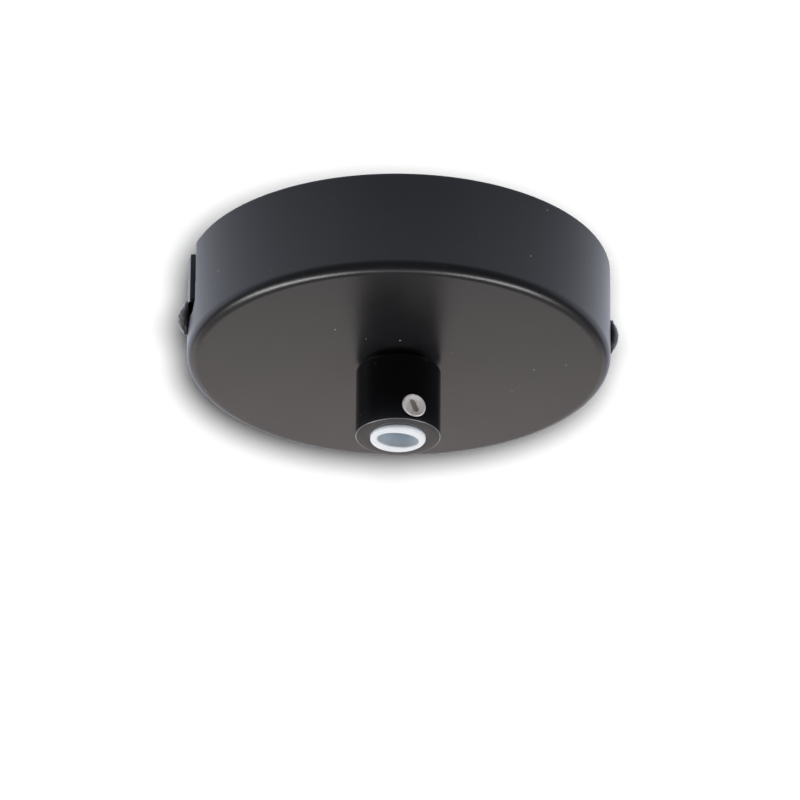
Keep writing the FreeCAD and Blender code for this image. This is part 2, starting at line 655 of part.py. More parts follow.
# Cord grip: collar, oval nylon insert and the clamp screw share one turned frame.
def build_cord_grip():
    place = {"Placement__Rotation__Angle": "clamp_azimuth"}
    web = CUP_FACE + " - collar_web"
    bore = "insert_diameter / 2 + thread_gap"
    collar = turned("cord_grip_collar", [
        (CUP_FACE, "nipple_diameter / 2 + thread_gap"),
        (CUP_FACE, "collar_neck_diameter / 2"), (COLLAR_TOP, "collar_neck_diameter / 2"),
        (COLLAR_TOP, "collar_diameter / 2"), (COLLAR_END, "collar_diameter / 2"), (COLLAR_END, bore),
        (web, bore), (web, "nipple_diameter / 2 + thread_gap"),
    ], axis="Z", **place)
    outer = number_of("collar_diameter / 2")
    round_edges(collar, lambda e: is_ring(e, outer), "collar_edge", kind="Chamfer")
    tapped = sketch_on(collar, "YZ_Plane", "clamp_hole")
    circle(tapped, "0", CLAMP_Z, "clamp_thread / 2 + thread_gap")
    pocket(collar, tapped, "collar_diameter / 2 + 1", backwards=True)

    end = COLLAR_END + " - insert_proud"
    insert = make_body("cord_grip_insert", **place)
    plan = sketch_on(insert, "XY_Plane", "plan", end)
    circle(plan, "0", "0", "insert_diameter / 2")
    long_half = number_of("cord_long / 2")
    short_half = number_of("cord_short / 2")
    oval = Part.Ellipse(Vector(0, long_half, 0), Vector(short_half, 0, 0), Vector(0, 0, 0))
    index = plan.addGeometry(oval, False)
    plan.exposeInternalGeometry(index)
    fix(plan, "DistanceX", index, 3, "0")
    fix(plan, "DistanceY", index, 3, "0")
    for line, text in ((index + 1, "cord_long"), (index + 2, "cord_short")):
        mark = plan.addConstraint(Sketcher.Constraint("Distance", line, number_of(text)))
        plan.setExpression(f"Constraints[{mark}]", bound(text))
    plan.addConstraint(Sketcher.Constraint("Vertical", index + 1))
    pad(insert, plan, web + " - (" + end + ")")
    lip = number_of("insert_diameter / 2")
    end_z = number_of(end)

    def is_insert_end(edge):
        round_one = isinstance(edge.Curve, (Part.Circle, Part.Ellipse))
        return round_one and abs(edge.BoundBox.ZMax - end_z) < 1e-4 and edge.Length < 7 * lip

    round_edges(insert, is_insert_end, "insert_edge", kind="Chamfer")
    window = sketch_on(insert, "YZ_Plane", "clamp_window")
    circle(window, "0", CLAMP_Z, "clamp_thread / 2 + part_gap")
    pocket(insert, window, "insert_diameter / 2 + 1", backwards=True)

    face = "collar_diameter / 2 + clamp_proud"
    screw = turned("cord_clamp_screw", [
        (face + " - clamp_length", "0"),
        (face + " - clamp_length", "clamp_thread / 2 - clamp_chamfer"),
        (face + " - clamp_length + clamp_chamfer", "clamp_thread / 2"),
        (face + " - clamp_chamfer", "clamp_thread / 2"),
        (face, "clamp_thread / 2 - clamp_chamfer"),
        (face, "0"),
    ], Placement__Base__z=CLAMP_Z, **place)
    slot = sketch_on(screw, "YZ_Plane", "slot", face)
    lean = "(clamp_slot_length - clamp_slot_width) / 2 * sin(clamp_slot_lean * 1 deg)"
    rise = "(clamp_slot_length - clamp_slot_width) / 2 * cos(clamp_slot_lean * 1 deg)"
    round_slot(slot, ("-" + lean, rise), (lean, "-" + rise), "clamp_slot_width / 2")
    pocket(screw, slot, "clamp_slot_depth")


build_bracket()
build_earth_screw()
build_terminal_block()
build_cup()
build_nipple()
build_cord_grip()
build_side_screw("right", "0")
build_side_screw("left", "180")
doc.recompute()

for feature in doc.Objects:
    if "Invalid" in feature.State or "Error" in feature.State:
        raise RuntimeError(f"{feature.Name} failed: {feature.State}")
for body in bodies:
    if body.Shape.isNull() or not body.Shape.isValid():
        raise RuntimeError(body.Label + " has no valid shape")

os.makedirs("parts", exist_ok=True)
for body in bodies:
    body.Shape.exportStep(f"parts/{body.Label}.step")
    print(f"{body.Label}: {len(body.Shape.Solids)} solid, {body.Shape.Volume:.1f} mm3")
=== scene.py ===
import json
import math

import bmesh
import bpy
from mathutils import Matrix, Vector


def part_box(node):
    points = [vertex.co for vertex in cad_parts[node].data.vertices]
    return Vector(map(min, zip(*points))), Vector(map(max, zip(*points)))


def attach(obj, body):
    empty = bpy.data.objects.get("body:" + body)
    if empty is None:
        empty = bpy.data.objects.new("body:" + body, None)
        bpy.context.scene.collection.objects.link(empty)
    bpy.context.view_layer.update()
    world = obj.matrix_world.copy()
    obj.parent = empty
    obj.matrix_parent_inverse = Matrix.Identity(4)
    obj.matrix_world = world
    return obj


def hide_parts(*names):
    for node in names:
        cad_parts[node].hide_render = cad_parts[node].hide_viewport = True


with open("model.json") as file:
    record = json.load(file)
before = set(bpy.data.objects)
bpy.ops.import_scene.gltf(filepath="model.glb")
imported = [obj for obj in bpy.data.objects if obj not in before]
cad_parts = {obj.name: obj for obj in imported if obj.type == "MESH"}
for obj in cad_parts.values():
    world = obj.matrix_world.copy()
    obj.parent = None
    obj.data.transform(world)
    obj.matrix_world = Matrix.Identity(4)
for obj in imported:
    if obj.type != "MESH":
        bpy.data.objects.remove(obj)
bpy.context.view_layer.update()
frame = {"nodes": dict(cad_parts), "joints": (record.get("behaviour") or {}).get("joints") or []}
print("frame loaded,", len(frame["nodes"]), "nodes")

mm = 0.001
fullTurn = 2 * math.pi
clampJoint = next(j for j in frame["joints"] if j["name"] == "clamp_screw_feed")
clampWay = Vector(clampJoint["axis"])
clampTurn = math.atan2(clampWay.y, clampWay.x)
twistJoint = next(j for j in frame["joints"] if j["name"] == "cup_twist")
twistTurn = math.radians(abs(twistJoint["range_deg"][0]))


def middleOf(node):
    low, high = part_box(node)
    return (low + high) / 2


# A shader socket that can be added to, multiplied and so on
class Link:
    def __init__(self, recipe, socket):
        self.recipe = recipe
        self.socket = socket

    def combine(self, operation, left, right):
        return self.recipe.add("ShaderNodeMath", {"operation": operation}, {0: left, 1: right})

    def alone(self, operation):
        return self.recipe.add("ShaderNodeMath", {"operation": operation}, {0: self})

    def __add__(self, other):
        return self.combine("ADD", self, other)

    def __radd__(self, other):
        return self.combine("ADD", other, self)

    def __sub__(self, other):
        return self.combine("SUBTRACT", self, other)

    def __rsub__(self, other):
        return self.combine("SUBTRACT", other, self)

    def __mul__(self, other):
        return self.combine("MULTIPLY", self, other)

    def __rmul__(self, other):
        return self.combine("MULTIPLY", other, self)

    def __truediv__(self, other):
        return self.combine("DIVIDE", self, other)

    def __rtruediv__(self, other):
        return self.combine("DIVIDE", other, self)

    def __gt__(self, other):
        return self.combine("GREATER_THAN", self, other)

    def __lt__(self, other):
        return self.combine("LESS_THAN", self, other)

    def __abs__(self):
        return self.alone("ABSOLUTE")

    def sharpened(self, low, high):
        return self.recipe.add("ShaderNodeMapRange", {"clamp": True},
                               {"Value": self, "From Min": low, "From Max": high})


# The node tree of one finish, or of the world
class Recipe:
    def __init__(self, tree):
        self.tree = tree
        self.tree.nodes.clear()

    def add(self, kind, settings=None, inputs=None, output=0):
        node = self.tree.nodes.new(kind)
        for key, value in (settings or {}).items():
            setattr(node, key, value)
        for key, value in (inputs or {}).items():
            if isinstance(value, Link):
                self.tree.links.new(value.socket, node.inputs[key])
            else:
                node.inputs[key].default_value = value
        return Link(self, node.outputs[output]) if len(node.outputs) else None

    def where(self):
        return self.add("ShaderNodeTexCoord", output="Object")

    def split(self, place):
        return [self.add("ShaderNodeSeparateXYZ", {}, {0: place}, output=way) for way in "XYZ"]

    def stretched(self, place, scale):
        return self.add("ShaderNodeMapping", {}, {"Vector": place, "Scale": scale})

    def noise(self, place, scale, detail, roughness):
        return self.add("ShaderNodeTexNoise", {}, {
            "Vector": place, "Scale": scale, "Detail": detail, "Roughness": roughness})

    def mixed(self, share, first, second):
        return self.add("ShaderNodeMix", {"data_type": "RGBA"}, {0: share, 6: first, 7: second},
                        output=2)

    def bump(self, height, distance):
        return self.add("ShaderNodeBump", {}, {"Height": height, "Distance": distance})


def colour(red, green, blue):
    return (red, green, blue, 1.0)


def finish(name, **fixed):
    material = bpy.data.materials.new(name)
    material.use_nodes = True
    recipe = Recipe(material.node_tree)
    surface = recipe.tree.nodes.new("ShaderNodeBsdfPrincipled")
    for key, value in fixed.items():
        surface.inputs[key.replace("_", " ")].default_value = value
    output = recipe.tree.nodes.new("ShaderNodeOutputMaterial")
    recipe.tree.links.new(surface.outputs[0], output.inputs[0])
    recipe.surface = surface
    recipe.material = material
    return recipe


def feed(recipe, **links):
    for key, link in links.items():
        recipe.tree.links.new(link.socket, recipe.surface.inputs[key.replace("_", " ")])
    return recipe.material


# Distance from the rose's axis, and height
def axisDistance(r, place):
    x, y, z = r.split(place)
    return (x * x + y * y).alone("SQRT"), z


# Sparse round specks: one in each cell of a Voronoi pattern, most of them dropped
def specks(r, place, cell, size, kept):
    picked, reach = (r.add("ShaderNodeTexVoronoi", {}, {"Vector": place, "Scale": 1 / cell},
                           output=result) for result in ("Color", "Distance"))
    chance = r.add("ShaderNodeSeparateColor", {}, {0: picked})
    return (reach < size / cell) * (chance > 1 - kept)


# Powder coat: fine orange peel, cloudy sheen and a little dust, and on the collar a painted
# highlight line
paintSettings = {
    "cup": {
        "coat": 0.45, "coatRough": 0.27, "coatRadius": (0.0490, 0.0498),
        "coatDepth": (-0.002, 0.026),
        "dark": colour(0.0026, 0.0027, 0.0031), "light": colour(0.0046, 0.0046, 0.0049),
        "roughness": 0.285, "spread": 0.06, "grain": 2600, "depth": 0.000012,
        "dustCell": 0.004, "dustSize": 0.00025, "dustKept": 0.22,
    },
    "collar": {
        "coat": 0.25, "coatRough": 0.2, "coatRadius": (0.0064, 0.0068),
        "coatDepth": (0.0433, 0.0435),
        "dark": colour(0.0016, 0.0017, 0.0020), "light": colour(0.0030, 0.0030, 0.0033),
        "roughness": 0.15, "spread": 0.04, "grain": 3400, "depth": 0.000007,
        "dustCell": 0.003, "dustSize": 0.00012, "dustKept": 0.10,
        # painted highlight line along the collar's lower edge round
        "edgeRadius": 0.01, "edgeHeight": -0.0435, "edgeSize": 0.00028, "highlightShare": 0.62,
    },
}
powder = {
    "cloudScale": 55, "peelRough": 0.05, "dustColour": colour(0.24, 0.23, 0.22),
    "dustCover": 0.6, "dustRough": 0.4, "fineCell": 3, "fineSize": 2.2, "fineShare": 0.3,
    # colour and noise of the collar's painted highlight line
    "highlightColour": colour(0.42, 0.42, 0.41), "highlightGrain": 900, "highlightRange": (0.24, 0.46),
    "highlightSpread": 0.6, "highlightLeast": 0.5,
}


# Painted highlight: a light grey line drawn on the sharp lower edge, most where its round stands
# at 45 degrees
def paintedEdgeHighlight(r, place, radius, z, s):
    outwards = (radius - s["edgeRadius"]) / s["edgeSize"] + 1
    downwards = (s["edgeHeight"] - z) / s["edgeSize"] + 1
    paintedLine = r.noise(place, powder["highlightGrain"], 2.0, 0.6)
    return ((outwards * downwards).sharpened(*powder["highlightRange"])
            * (paintedLine * powder["highlightSpread"] + powder["highlightLeast"]))


def paint(name, s):
    r = finish(name, IOR=1.5, Coat_Roughness=s["coatRough"])
    place = r.where()
    radius, z = axisDistance(r, place)
    peel = r.noise(place, s["grain"], 2.0, 0.55)
    cloud = r.noise(place, powder["cloudScale"], 3.0, 0.6)
    dust = specks(r, place, s["dustCell"], s["dustSize"], s["dustKept"])
    fine = specks(r, place, s["dustCell"] / powder["fineCell"],
                  s["dustSize"] / powder["fineSize"], s["dustKept"])
    dirt = (dust + fine * powder["fineShare"]).sharpened(0, 1)
    base = r.mixed(cloud, s["dark"], s["light"])
    base = r.mixed(dirt * powder["dustCover"], base, powder["dustColour"])
    # Painted highlight line along the collar's lower edge
    if "highlightShare" in s:
        paintedLine = paintedEdgeHighlight(r, place, radius, z, s) * s["highlightShare"]
        base = r.mixed(paintedLine, base, powder["highlightColour"])
    rough = (cloud - 0.5) * s["spread"] + peel * powder["peelRough"] + s["roughness"]
    rough = rough + dirt * powder["dustRough"]
    # The powder gathers down the cup's wall, and on the collar's end
    gathered = (radius.sharpened(*s["coatRadius"]) * (0 - z).sharpened(*s["coatDepth"])
                * s["coat"])
    return feed(r, Base_Color=base, Roughness=rough, Coat_Weight=gathered,
                Normal=r.bump(peel + dirt, s["depth"]))


# Moulded nylon: milky, with flow marks and a soft skin; painted shade inward of the mouth, painted
# light on the insert's standing side
nylonSettings = {
    "insert": {
        "pale": colour(0.45, 0.46, 0.465), "deep": colour(0.40, 0.41, 0.42),
        # inner, from mouth to throat: painted shade, a blue-grey cast up the insert's bore
        "inner": colour(0.50, 0.58, 0.64), "inwards": (0, 0, 1), "mouth": -0.0440,
        "throat": -0.0420,
        "roughness": 0.42, "flow": (300, 300, 60), "depth": 0.00003,
        "weight": 0.35, "radius": (0.0011, 0.0012, 0.0014),
        # painted light: the insert's standing outer side is drawn pale where it falls in shade
        "paintedLightSide": colour(0.86, 0.88, 0.90), "sideRadius": (0.0060, 0.0063),
        "sideHeight": (-0.0443, -0.0441), "sideDepth": (0.0434, 0.0436),
    },
    "clamp": {
        "pale": colour(0.90, 0.88, 0.85), "deep": colour(0.62, 0.58, 0.52),
        # inner: painted shade, darker brown on the shank inside the collar's hole
        "inner": colour(0.36, 0.32, 0.27), "mouth": -0.0098, "throat": -0.0095,
        "inwards": (-math.cos(clampTurn), -math.sin(clampTurn), 0),
        "roughness": 0.30, "flow": (420, 260, 120), "depth": 0.00006,
        "weight": 0.25, "radius": (0.0009, 0.0009, 0.0009),
    },
}
milk = {
    "coat": 0.08, "grainScale": 3800, "flowRange": (0.3, 0.72), "flowRough": 0.12,
    "grainRough": 0.06, "meanRough": 0.09, "flowHeight": 0.7, "grainHeight": 0.3,
}


def nylon(name, s):
    r = finish(name, IOR=1.53, Subsurface_Weight=s["weight"], Subsurface_Radius=s["radius"],
               Subsurface_Scale=1.0, Coat_Weight=milk["coat"])
    place = r.where()
    flow = r.noise(r.stretched(place, s["flow"]), 3.0, 4.0, 0.6)
    grain = r.noise(place, milk["grainScale"], 2.0, 0.5)
    base = r.mixed(flow.sharpened(*milk["flowRange"]), s["deep"], s["pale"])
    depth = r.add("ShaderNodeVectorMath", {"operation": "DOT_PRODUCT"},
                  {0: place, 1: s["inwards"]}, output="Value")
    # Painted shade: the inner colour inward of the mouth, for the shade in the bore and the hole
    base = r.mixed(depth.sharpened(s["mouth"], s["throat"]), base, s["inner"])
    # Painted light: the insert's standing outer side is drawn paler than the rest
    if "paintedLightSide" in s:
        radius, z = axisDistance(r, place)
        side = (radius.sharpened(*s["sideRadius"]) * z.sharpened(*s["sideHeight"])
                * (0 - z).sharpened(*s["sideDepth"]))
        base = r.mixed(side, base, s["paintedLightSide"])
    rough = flow * milk["flowRough"] + grain * milk["grainRough"] + s["roughness"]
    height = flow * milk["flowHeight"] + grain * milk["grainHeight"]
    return feed(r, Base_Color=base, Roughness=rough - milk["meanRough"],
                Normal=r.bump(height, s["depth"]))


# Plated or plain metal: brushed or turned lines, tarnish and a changing gloss
metalSettings = {
    "blackNickel": {
        "bright": colour(0.16, 0.145, 0.125), "dull": colour(0.02, 0.02, 0.021),
        "roughness": 0.09, "lines": (900, 900, 900), "depth": 0.000012, "cloud": 700,
    },
    "blackOxide": {
        "bright": colour(0.035, 0.035, 0.036), "dull": colour(0.015, 0.015, 0.016),
        "roughness": 0.40, "lines": (700, 700, 700), "depth": 0.000010, "cloud": 300,
        "metallic": 0.6,
    },
    "zincSheet": {
        "bright": colour(0.70, 0.71, 0.73), "dull": colour(0.50, 0.51, 0.53),
        "roughness": 0.30, "lines": (40, 1500, 1500), "depth": 0.000008, "cloud": 90,
    },
    "zincTurned": {
        "bright": colour(0.72, 0.71, 0.68), "dull": colour(0.53, 0.52, 0.48),
        "roughness": 0.26, "lines": (120, 120, 2600), "depth": 0.000008, "cloud": 160,
    },
    "plainBrass": {
        "bright": colour(0.83, 0.63, 0.31), "dull": colour(0.58, 0.41, 0.19),
        "roughness": 0.25, "lines": (1400, 140, 1400), "depth": 0.000008, "cloud": 220,
    },
    "smallSteel": {
        "bright": colour(0.70, 0.69, 0.66), "dull": colour(0.48, 0.46, 0.42),
        "roughness": 0.28, "lines": (1200, 1200, 1200), "depth": 0.000006, "cloud": 400,
    },
}
tarnish = {"range": (0.32, 0.7), "cloudRough": 0.16, "lineRough": 0.10, "meanRough": 0.1}


def metal(name, s):
    r = finish(name, Metallic=s.get("metallic", 1.0))
    place = r.where()
    lines = r.noise(r.stretched(place, s["lines"]), 1.0, 3.0, 0.6)
    cloud = r.noise(place, s["cloud"], 4.0, 0.6)
    base = r.mixed(cloud.sharpened(*tarnish["range"]), s["dull"], s["bright"])
    rough = cloud * tarnish["cloudRough"] + lines * tarnish["lineRough"] + s["roughness"]
    return feed(r, Base_Color=base, Roughness=rough - tarnish["meanRough"],
                Normal=r.bump(lines, s["depth"]))


# Terminal block: off-white moulding with a matt spark-eroded skin
blockSettings = {
    "clean": colour(0.80, 0.79, 0.75), "stained": colour(0.72, 0.70, 0.64),
    "stainScale": 70, "stainRange": (0.35, 0.7), "skinScale": 2400, "skinRough": 0.14,
    "roughness": 0.40, "depth": 0.000016, "weight": 0.08, "radius": (0.0006, 0.0005, 0.0004),
}


def moulding(name, s):
    r = finish(name, IOR=1.5, Subsurface_Weight=s["weight"], Subsurface_Radius=s["radius"],
               Subsurface_Scale=1.0)
    place = r.where()
    skin = r.noise(place, s["skinScale"], 3.0, 0.6)
    stain = r.noise(place, s["stainScale"], 3.0, 0.5)
    base = r.mixed(stain.sharpened(*s["stainRange"]), s["clean"], s["stained"])
    return feed(r, Base_Color=base, Roughness=skin * s["skinRough"] + s["roughness"],
                Normal=r.bump(skin, s["depth"]))


cupPaint = paint("cupPaint", paintSettings["cup"])
collarPaint = paint("collarPaint", paintSettings["collar"])
insertNylon = nylon("insertNylon", nylonSettings["insert"])
clampNylon = nylon("clampNylon", nylonSettings["clamp"])
blackNickel, blackOxide, zincSheet, zincTurned, plainBrass, smallSteel = (
    metal(name, s) for name, s in metalSettings.items())
blockPlastic = moulding("blockPlastic", blockSettings)
print("finishes made")


# How meshes are welded, smoothed and edge-broken: lengths in metres, angles in degrees
meshing = {
    "weld": 1e-7, "cutWeld": 2e-6, "smoothBelow": 32, "edgeFrom": 50, "segments": 2,
    "flatBelow": 1, "bevelFrom": 40, "bevelSmooth": 36, "grownSmooth": 35,
}


def newPiece(name, mesh, material):
    piece = bpy.data.objects.new(name, mesh)
    bpy.context.scene.collection.objects.link(piece)
    mesh.materials.clear()
    mesh.materials.append(material)
    return piece


def meshFrom(name, points, faces):
    mesh = bpy.data.meshes.new(name)
    mesh.from_pydata([tuple(p) for p in points], [], faces)
    mesh.validate()
    return mesh


def smooth(mesh, angle):
    mesh.shade_smooth()
    mesh.set_sharp_from_angle(angle=math.radians(angle))


def tidyMesh(mesh, angle=meshing["smoothBelow"], weld=meshing["weld"]):
    work = bmesh.new()
    work.from_mesh(mesh)
    bmesh.ops.remove_doubles(work, verts=work.verts, dist=weld)
    bmesh.ops.recalc_face_normals(work, faces=work.faces)
    work.to_mesh(mesh)
    work.free()
    smooth(mesh, angle)
    return mesh


# Gives a piece its evaluated mesh and takes its modifiers off
def settle(piece):
    graph = bpy.context.evaluated_depsgraph_get()
    graph.update()
    mesh = bpy.data.meshes.new_from_object(piece.evaluated_get(graph))
    old = piece.data
    piece.modifiers.clear()
    piece.data = mesh
    bpy.data.meshes.remove(old)


# An arc round a centre, as (radius, height) points, with its angles in degrees
def quarterRound(centre, radius, start, end, steps):
    points = []
    for i in range(steps + 1):
        angle = math.radians(start + (end - start) * i / steps)
        points.append((centre[0] + radius * math.cos(angle), centre[1] + radius * math.sin(angle)))
    return points


# A closed loop of (radius, height) points turned about Z
def turnedMesh(name, profile, steps):
    points, faces = [], []
    count = len(profile)
    for i in range(steps):
        angle = fullTurn * i / steps
        c, s = math.cos(angle), math.sin(angle)
        points.extend((radius * c, radius * s, height) for radius, height in profile)
    for i in range(steps):
        this, after = i * count, (i + 1) % steps * count
        for j in range(count):
            k = (j + 1) % count
            faces.append((this + j, after + j, after + k, this + k))
    return tidyMesh(meshFrom(name, points, faces))


# A flat outline pushed from one height to another
def prismMesh(name, outline, low, high):
    count = len(outline)
    points = [(x, y, low) for x, y in outline] + [(x, y, high) for x, y in outline]
    faces = [tuple(reversed(range(count))), tuple(range(count, 2 * count))]
    for i in range(count):
        k = (i + 1) % count
        faces.append((i, k, count + k, count + i))
    return meshFrom(name, points, faces)


def placed(mesh, matrix):
    mesh.transform(matrix)
    return mesh


def joined(name, meshes):
    work = bmesh.new()
    for mesh in meshes:
        work.from_mesh(mesh)
    both = bpy.data.meshes.new(name)
    work.to_mesh(both)
    work.free()
    return both


def cutWith(piece, cutterMesh, angle=meshing["smoothBelow"]):
    cutter = bpy.data.objects.new("cutter", cutterMesh)
    bpy.context.scene.collection.objects.link(cutter)
    change = piece.modifiers.new("cut", "BOOLEAN")
    change.operation = "DIFFERENCE"
    change.solver = "EXACT"
    change.object = cutter
    settle(piece)
    bpy.data.objects.remove(cutter)
    tidyMesh(piece.data, angle, meshing["cutWeld"])


# Breaks the sharp edges that a test picks
def breakEdges(piece, wanted, width):
    work = bmesh.new()
    work.from_mesh(piece.data)
    work.normal_update()
    sharp = math.radians(meshing["edgeFrom"])
    picked = [e for e in work.edges if len(e.link_faces) == 2
              and e.calc_face_angle(0) > sharp and wanted(e)]
    bmesh.ops.bevel(work, geom=picked, offset=width, segments=meshing["segments"], profile=0.5,
                    affect="EDGES", clamp_overlap=True)
    work.to_mesh(piece.data)
    work.free()
    tidyMesh(piece.data)


# Weighted normals keep flat parts flat beside their rounded edges
def evenShading(piece):
    change = piece.modifiers.new("even", "WEIGHTED_NORMAL")
    change.mode = "FACE_AREA"
    change.keep_sharp = True
    settle(piece)


def register(piece, body, slot, *nodes):
    evenShading(piece)
    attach(piece, body)
    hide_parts(*nodes)


# A smooth, edge-broken copy of a CAD node, which it then stands for
def refined(node, name, body, slot, material, width):
    mesh = frame["nodes"][node].data.copy()
    work = bmesh.new()
    work.from_mesh(mesh)
    bmesh.ops.remove_doubles(work, verts=work.verts, dist=meshing["cutWeld"])
    bmesh.ops.dissolve_limit(work, angle_limit=math.radians(meshing["flatBelow"]),
                             verts=work.verts, edges=work.edges)
    work.to_mesh(mesh)
    work.free()
    piece = newPiece(name, mesh, material)
    change = piece.modifiers.new("edges", "BEVEL")
    change.width, change.segments = width, meshing["segments"]
    change.limit_method = "ANGLE"
    change.angle_limit = math.radians(meshing["bevelFrom"])
    settle(piece)
    smooth(piece.data, meshing["bevelSmooth"])
    register(piece, body, slot, node)


# One Geometry Nodes tree with named inputs
class Garden:
    def __init__(self, name, inputs):
        self.tree = bpy.data.node_groups.new(name, "GeometryNodeTree")
        face = self.tree.interface
        face.new_socket("Geometry", in_out="INPUT", socket_type="NodeSocketGeometry")
        for key, (kind, value) in inputs.items():
            made = face.new_socket(key, in_out="INPUT", socket_type="NodeSocket" + kind)
            if value is not None:
                made.default_value = value
        face.new_socket("Geometry", in_out="OUTPUT", socket_type="NodeSocketGeometry")
        self.start = self.tree.nodes.new("NodeGroupInput").outputs

    def add(self, kind, settings=None, inputs=None, output=0):
        node = self.tree.nodes.new("GeometryNode" + kind if "Node" not in kind else kind)
        for key, value in (settings or {}).items():
            setattr(node, key, value)
        for key, value in (inputs or {}).items():
            for link in value if isinstance(value, list) else [value]:
                if isinstance(link, bpy.types.NodeSocket):
                    self.tree.links.new(link, node.inputs[key])
                else:
                    node.inputs[key].default_value = link
        return node.outputs[output]

    def maths(self, operation, left, right):
        return self.add("ShaderNodeMath", {"operation": operation}, {0: left, 1: right})

    def close(self, geometry):
        whole = self.add("RealizeInstances", {}, {0: geometry})
        coated = self.add("SetMaterial", {}, {
            "Geometry": whole, "Material": self.start["Material"]})
        end = self.tree.nodes.new("NodeGroupOutput")
        self.tree.links.new(coated, end.inputs[0])
        return self.tree


# A helical ridge wound round the piece that comes in
def threadTree():
    g = Garden("windThread", {
        "Crest Radius": ("Float", 0.005), "Depth": ("Float", 0.0003), "Pitch": ("Float", 0.001),
        "Length": ("Float", 0.009), "Base": ("Float", 0.0), "Material": ("Material", None),
    })
    turns = g.maths("DIVIDE", g.start["Length"], g.start["Pitch"])
    middle = g.maths("SUBTRACT", g.start["Crest Radius"], g.start["Depth"])
    spiral = g.add("CurveSpiral", {}, {
        "Resolution": 40, "Rotations": turns, "Start Radius": middle, "End Radius": middle,
        "Height": g.start["Length"]})
    upright = g.add("SetCurveNormal", {"mode": "Z_UP"}, {0: spiral})
    ridge = g.add("CurvePrimitiveCircle", {}, {"Resolution": 4, "Radius": g.start["Depth"]})
    wound = g.add("CurveToMesh", {}, {0: upright, 1: ridge, "Fill Caps": True})
    lift = g.add("ShaderNodeCombineXYZ", {}, {"Z": g.start["Base"]})
    moved = g.add("Transform", {}, {"Geometry": wound, "Translation": lift})
    both = g.add("JoinGeometry", {}, {0: [moved, g.start["Geometry"]]})
    return g.close(both)


# Copies of the tooth that comes in, stood round a circle, each turned outwards
def toothTree():
    g = Garden("ringOfTeeth", {
        "Count": ("Int", 12), "Radius": ("Float", 0.006), "Twist": ("Float", 0.3),
        "Material": ("Material", None),
    })
    ring = g.add("MeshCircle", {}, {"Vertices": g.start["Count"], "Radius": g.start["Radius"]})
    place = g.add("InputPosition")
    outward = g.add("FunctionNodeAlignEulerToVector", {"axis": "X", "pivot_axis": "Z"},
                    {"Vector": place})
    twist = g.add("ShaderNodeCombineXYZ", {}, {"X": g.start["Twist"]})
    turned = g.add("FunctionNodeRotateEuler", {"space": "LOCAL", "rotation_type": "EULER"},
                   {0: outward, 1: twist})
    teeth = g.add("InstanceOnPoints", {}, {
        "Points": ring, "Instance": g.start["Geometry"], "Rotation": turned})
    return g.close(teeth)


# Copies of the screw that comes in, on a grid, each with its slot turned by chance
def screwGridTree():
    g = Garden("gridOfScrews", {
        "Columns": ("Int", 3), "Rows": ("Int", 2), "Pitch": ("Float", 0.011),
        "Row Gap": ("Float", 0.008), "Centre": ("Vector", (0, 0, 0)), "Seed": ("Int", 4),
        "Material": ("Material", None),
    })
    wide = g.maths("MULTIPLY", g.maths("SUBTRACT", g.start["Columns"], 1.0), g.start["Pitch"])
    deep = g.maths("MULTIPLY", g.maths("SUBTRACT", g.start["Rows"], 1.0), g.start["Row Gap"])
    grid = g.add("MeshGrid", {}, {"Size X": wide, "Size Y": deep,
                                  "Vertices X": g.start["Columns"], "Vertices Y": g.start["Rows"]})
    there = g.add("Transform", {}, {"Geometry": grid, "Translation": g.start["Centre"]})
    angle = g.add("FunctionNodeRandomValue", {"data_type": "FLOAT"},
                  {2: 0.0, 3: math.pi, "Seed": g.start["Seed"]}, output=1)
    turn = g.add("ShaderNodeCombineXYZ", {}, {"Z": angle})
    screws = g.add("InstanceOnPoints", {}, {
        "Points": there, "Instance": g.start["Geometry"], "Rotation": turn})
    return g.close(screws)


def grow(piece, tree, **values):
    change = piece.modifiers.new("grow", "NODES")
    change.node_group = tree
    ids = {i.name: i.identifier for i in tree.interface.items_tree
           if i.item_type == "SOCKET" and i.in_out == "INPUT"}
    for key, value in values.items():
        change[ids[key.replace("_", " ")]] = value
    settle(piece)
    smooth(piece.data, meshing["grownSmooth"])


windThread = threadTree()
ringOfTeeth = toothTree()
gridOfScrews = screwGridTree()


# Cup: drawn steel with an L-shaped slot at each side screw
cup = {
    "wall": 1.2 * mm, "edge": 2.6 * mm, "rimRound": 0.22 * mm, "holeRadius": 5.2 * mm,
    "holeRound": 0.2 * mm, "channel": 6.3 * mm, "leg": 4.8 * mm, "outerCorner": 1.4 * mm,
    "innerCorner": 0.7 * mm, "edgeBreak": 0.11 * mm, "steps": 320,
    # points that stop the shading of a round, and how far the slot's cutter reaches
    "hold": 0.3 * mm, "cutInside": 4 * mm, "cutOutside": 2 * mm, "cutAbove": 2 * mm,
    # where the slot's own edges lie: out of the cup's radius, and along the wall
    "slotOut": 0.9, "slotAlong": (-3 * mm, 12 * mm),
}


# Outline of the slot in (along the wall, height), rounded as it is punched
def slotOutline(radius, level):
    near = radius * math.sin(twistTurn) - cup["channel"] / 2
    far = near + cup["channel"]
    low, high = level - cup["leg"] / 2, level + cup["leg"] / 2
    outer, inner = cup["outerCorner"], cup["innerCorner"]
    points = quarterRound((0, level), cup["leg"] / 2, 90, 270, 20)
    points += quarterRound((far - outer, low + outer), outer, -90, 0, 10)
    points += [(far, cup["cutAbove"]), (near, cup["cutAbove"])]
    points += quarterRound((near - inner, high + inner), inner, 0, -90, 8)
    return points


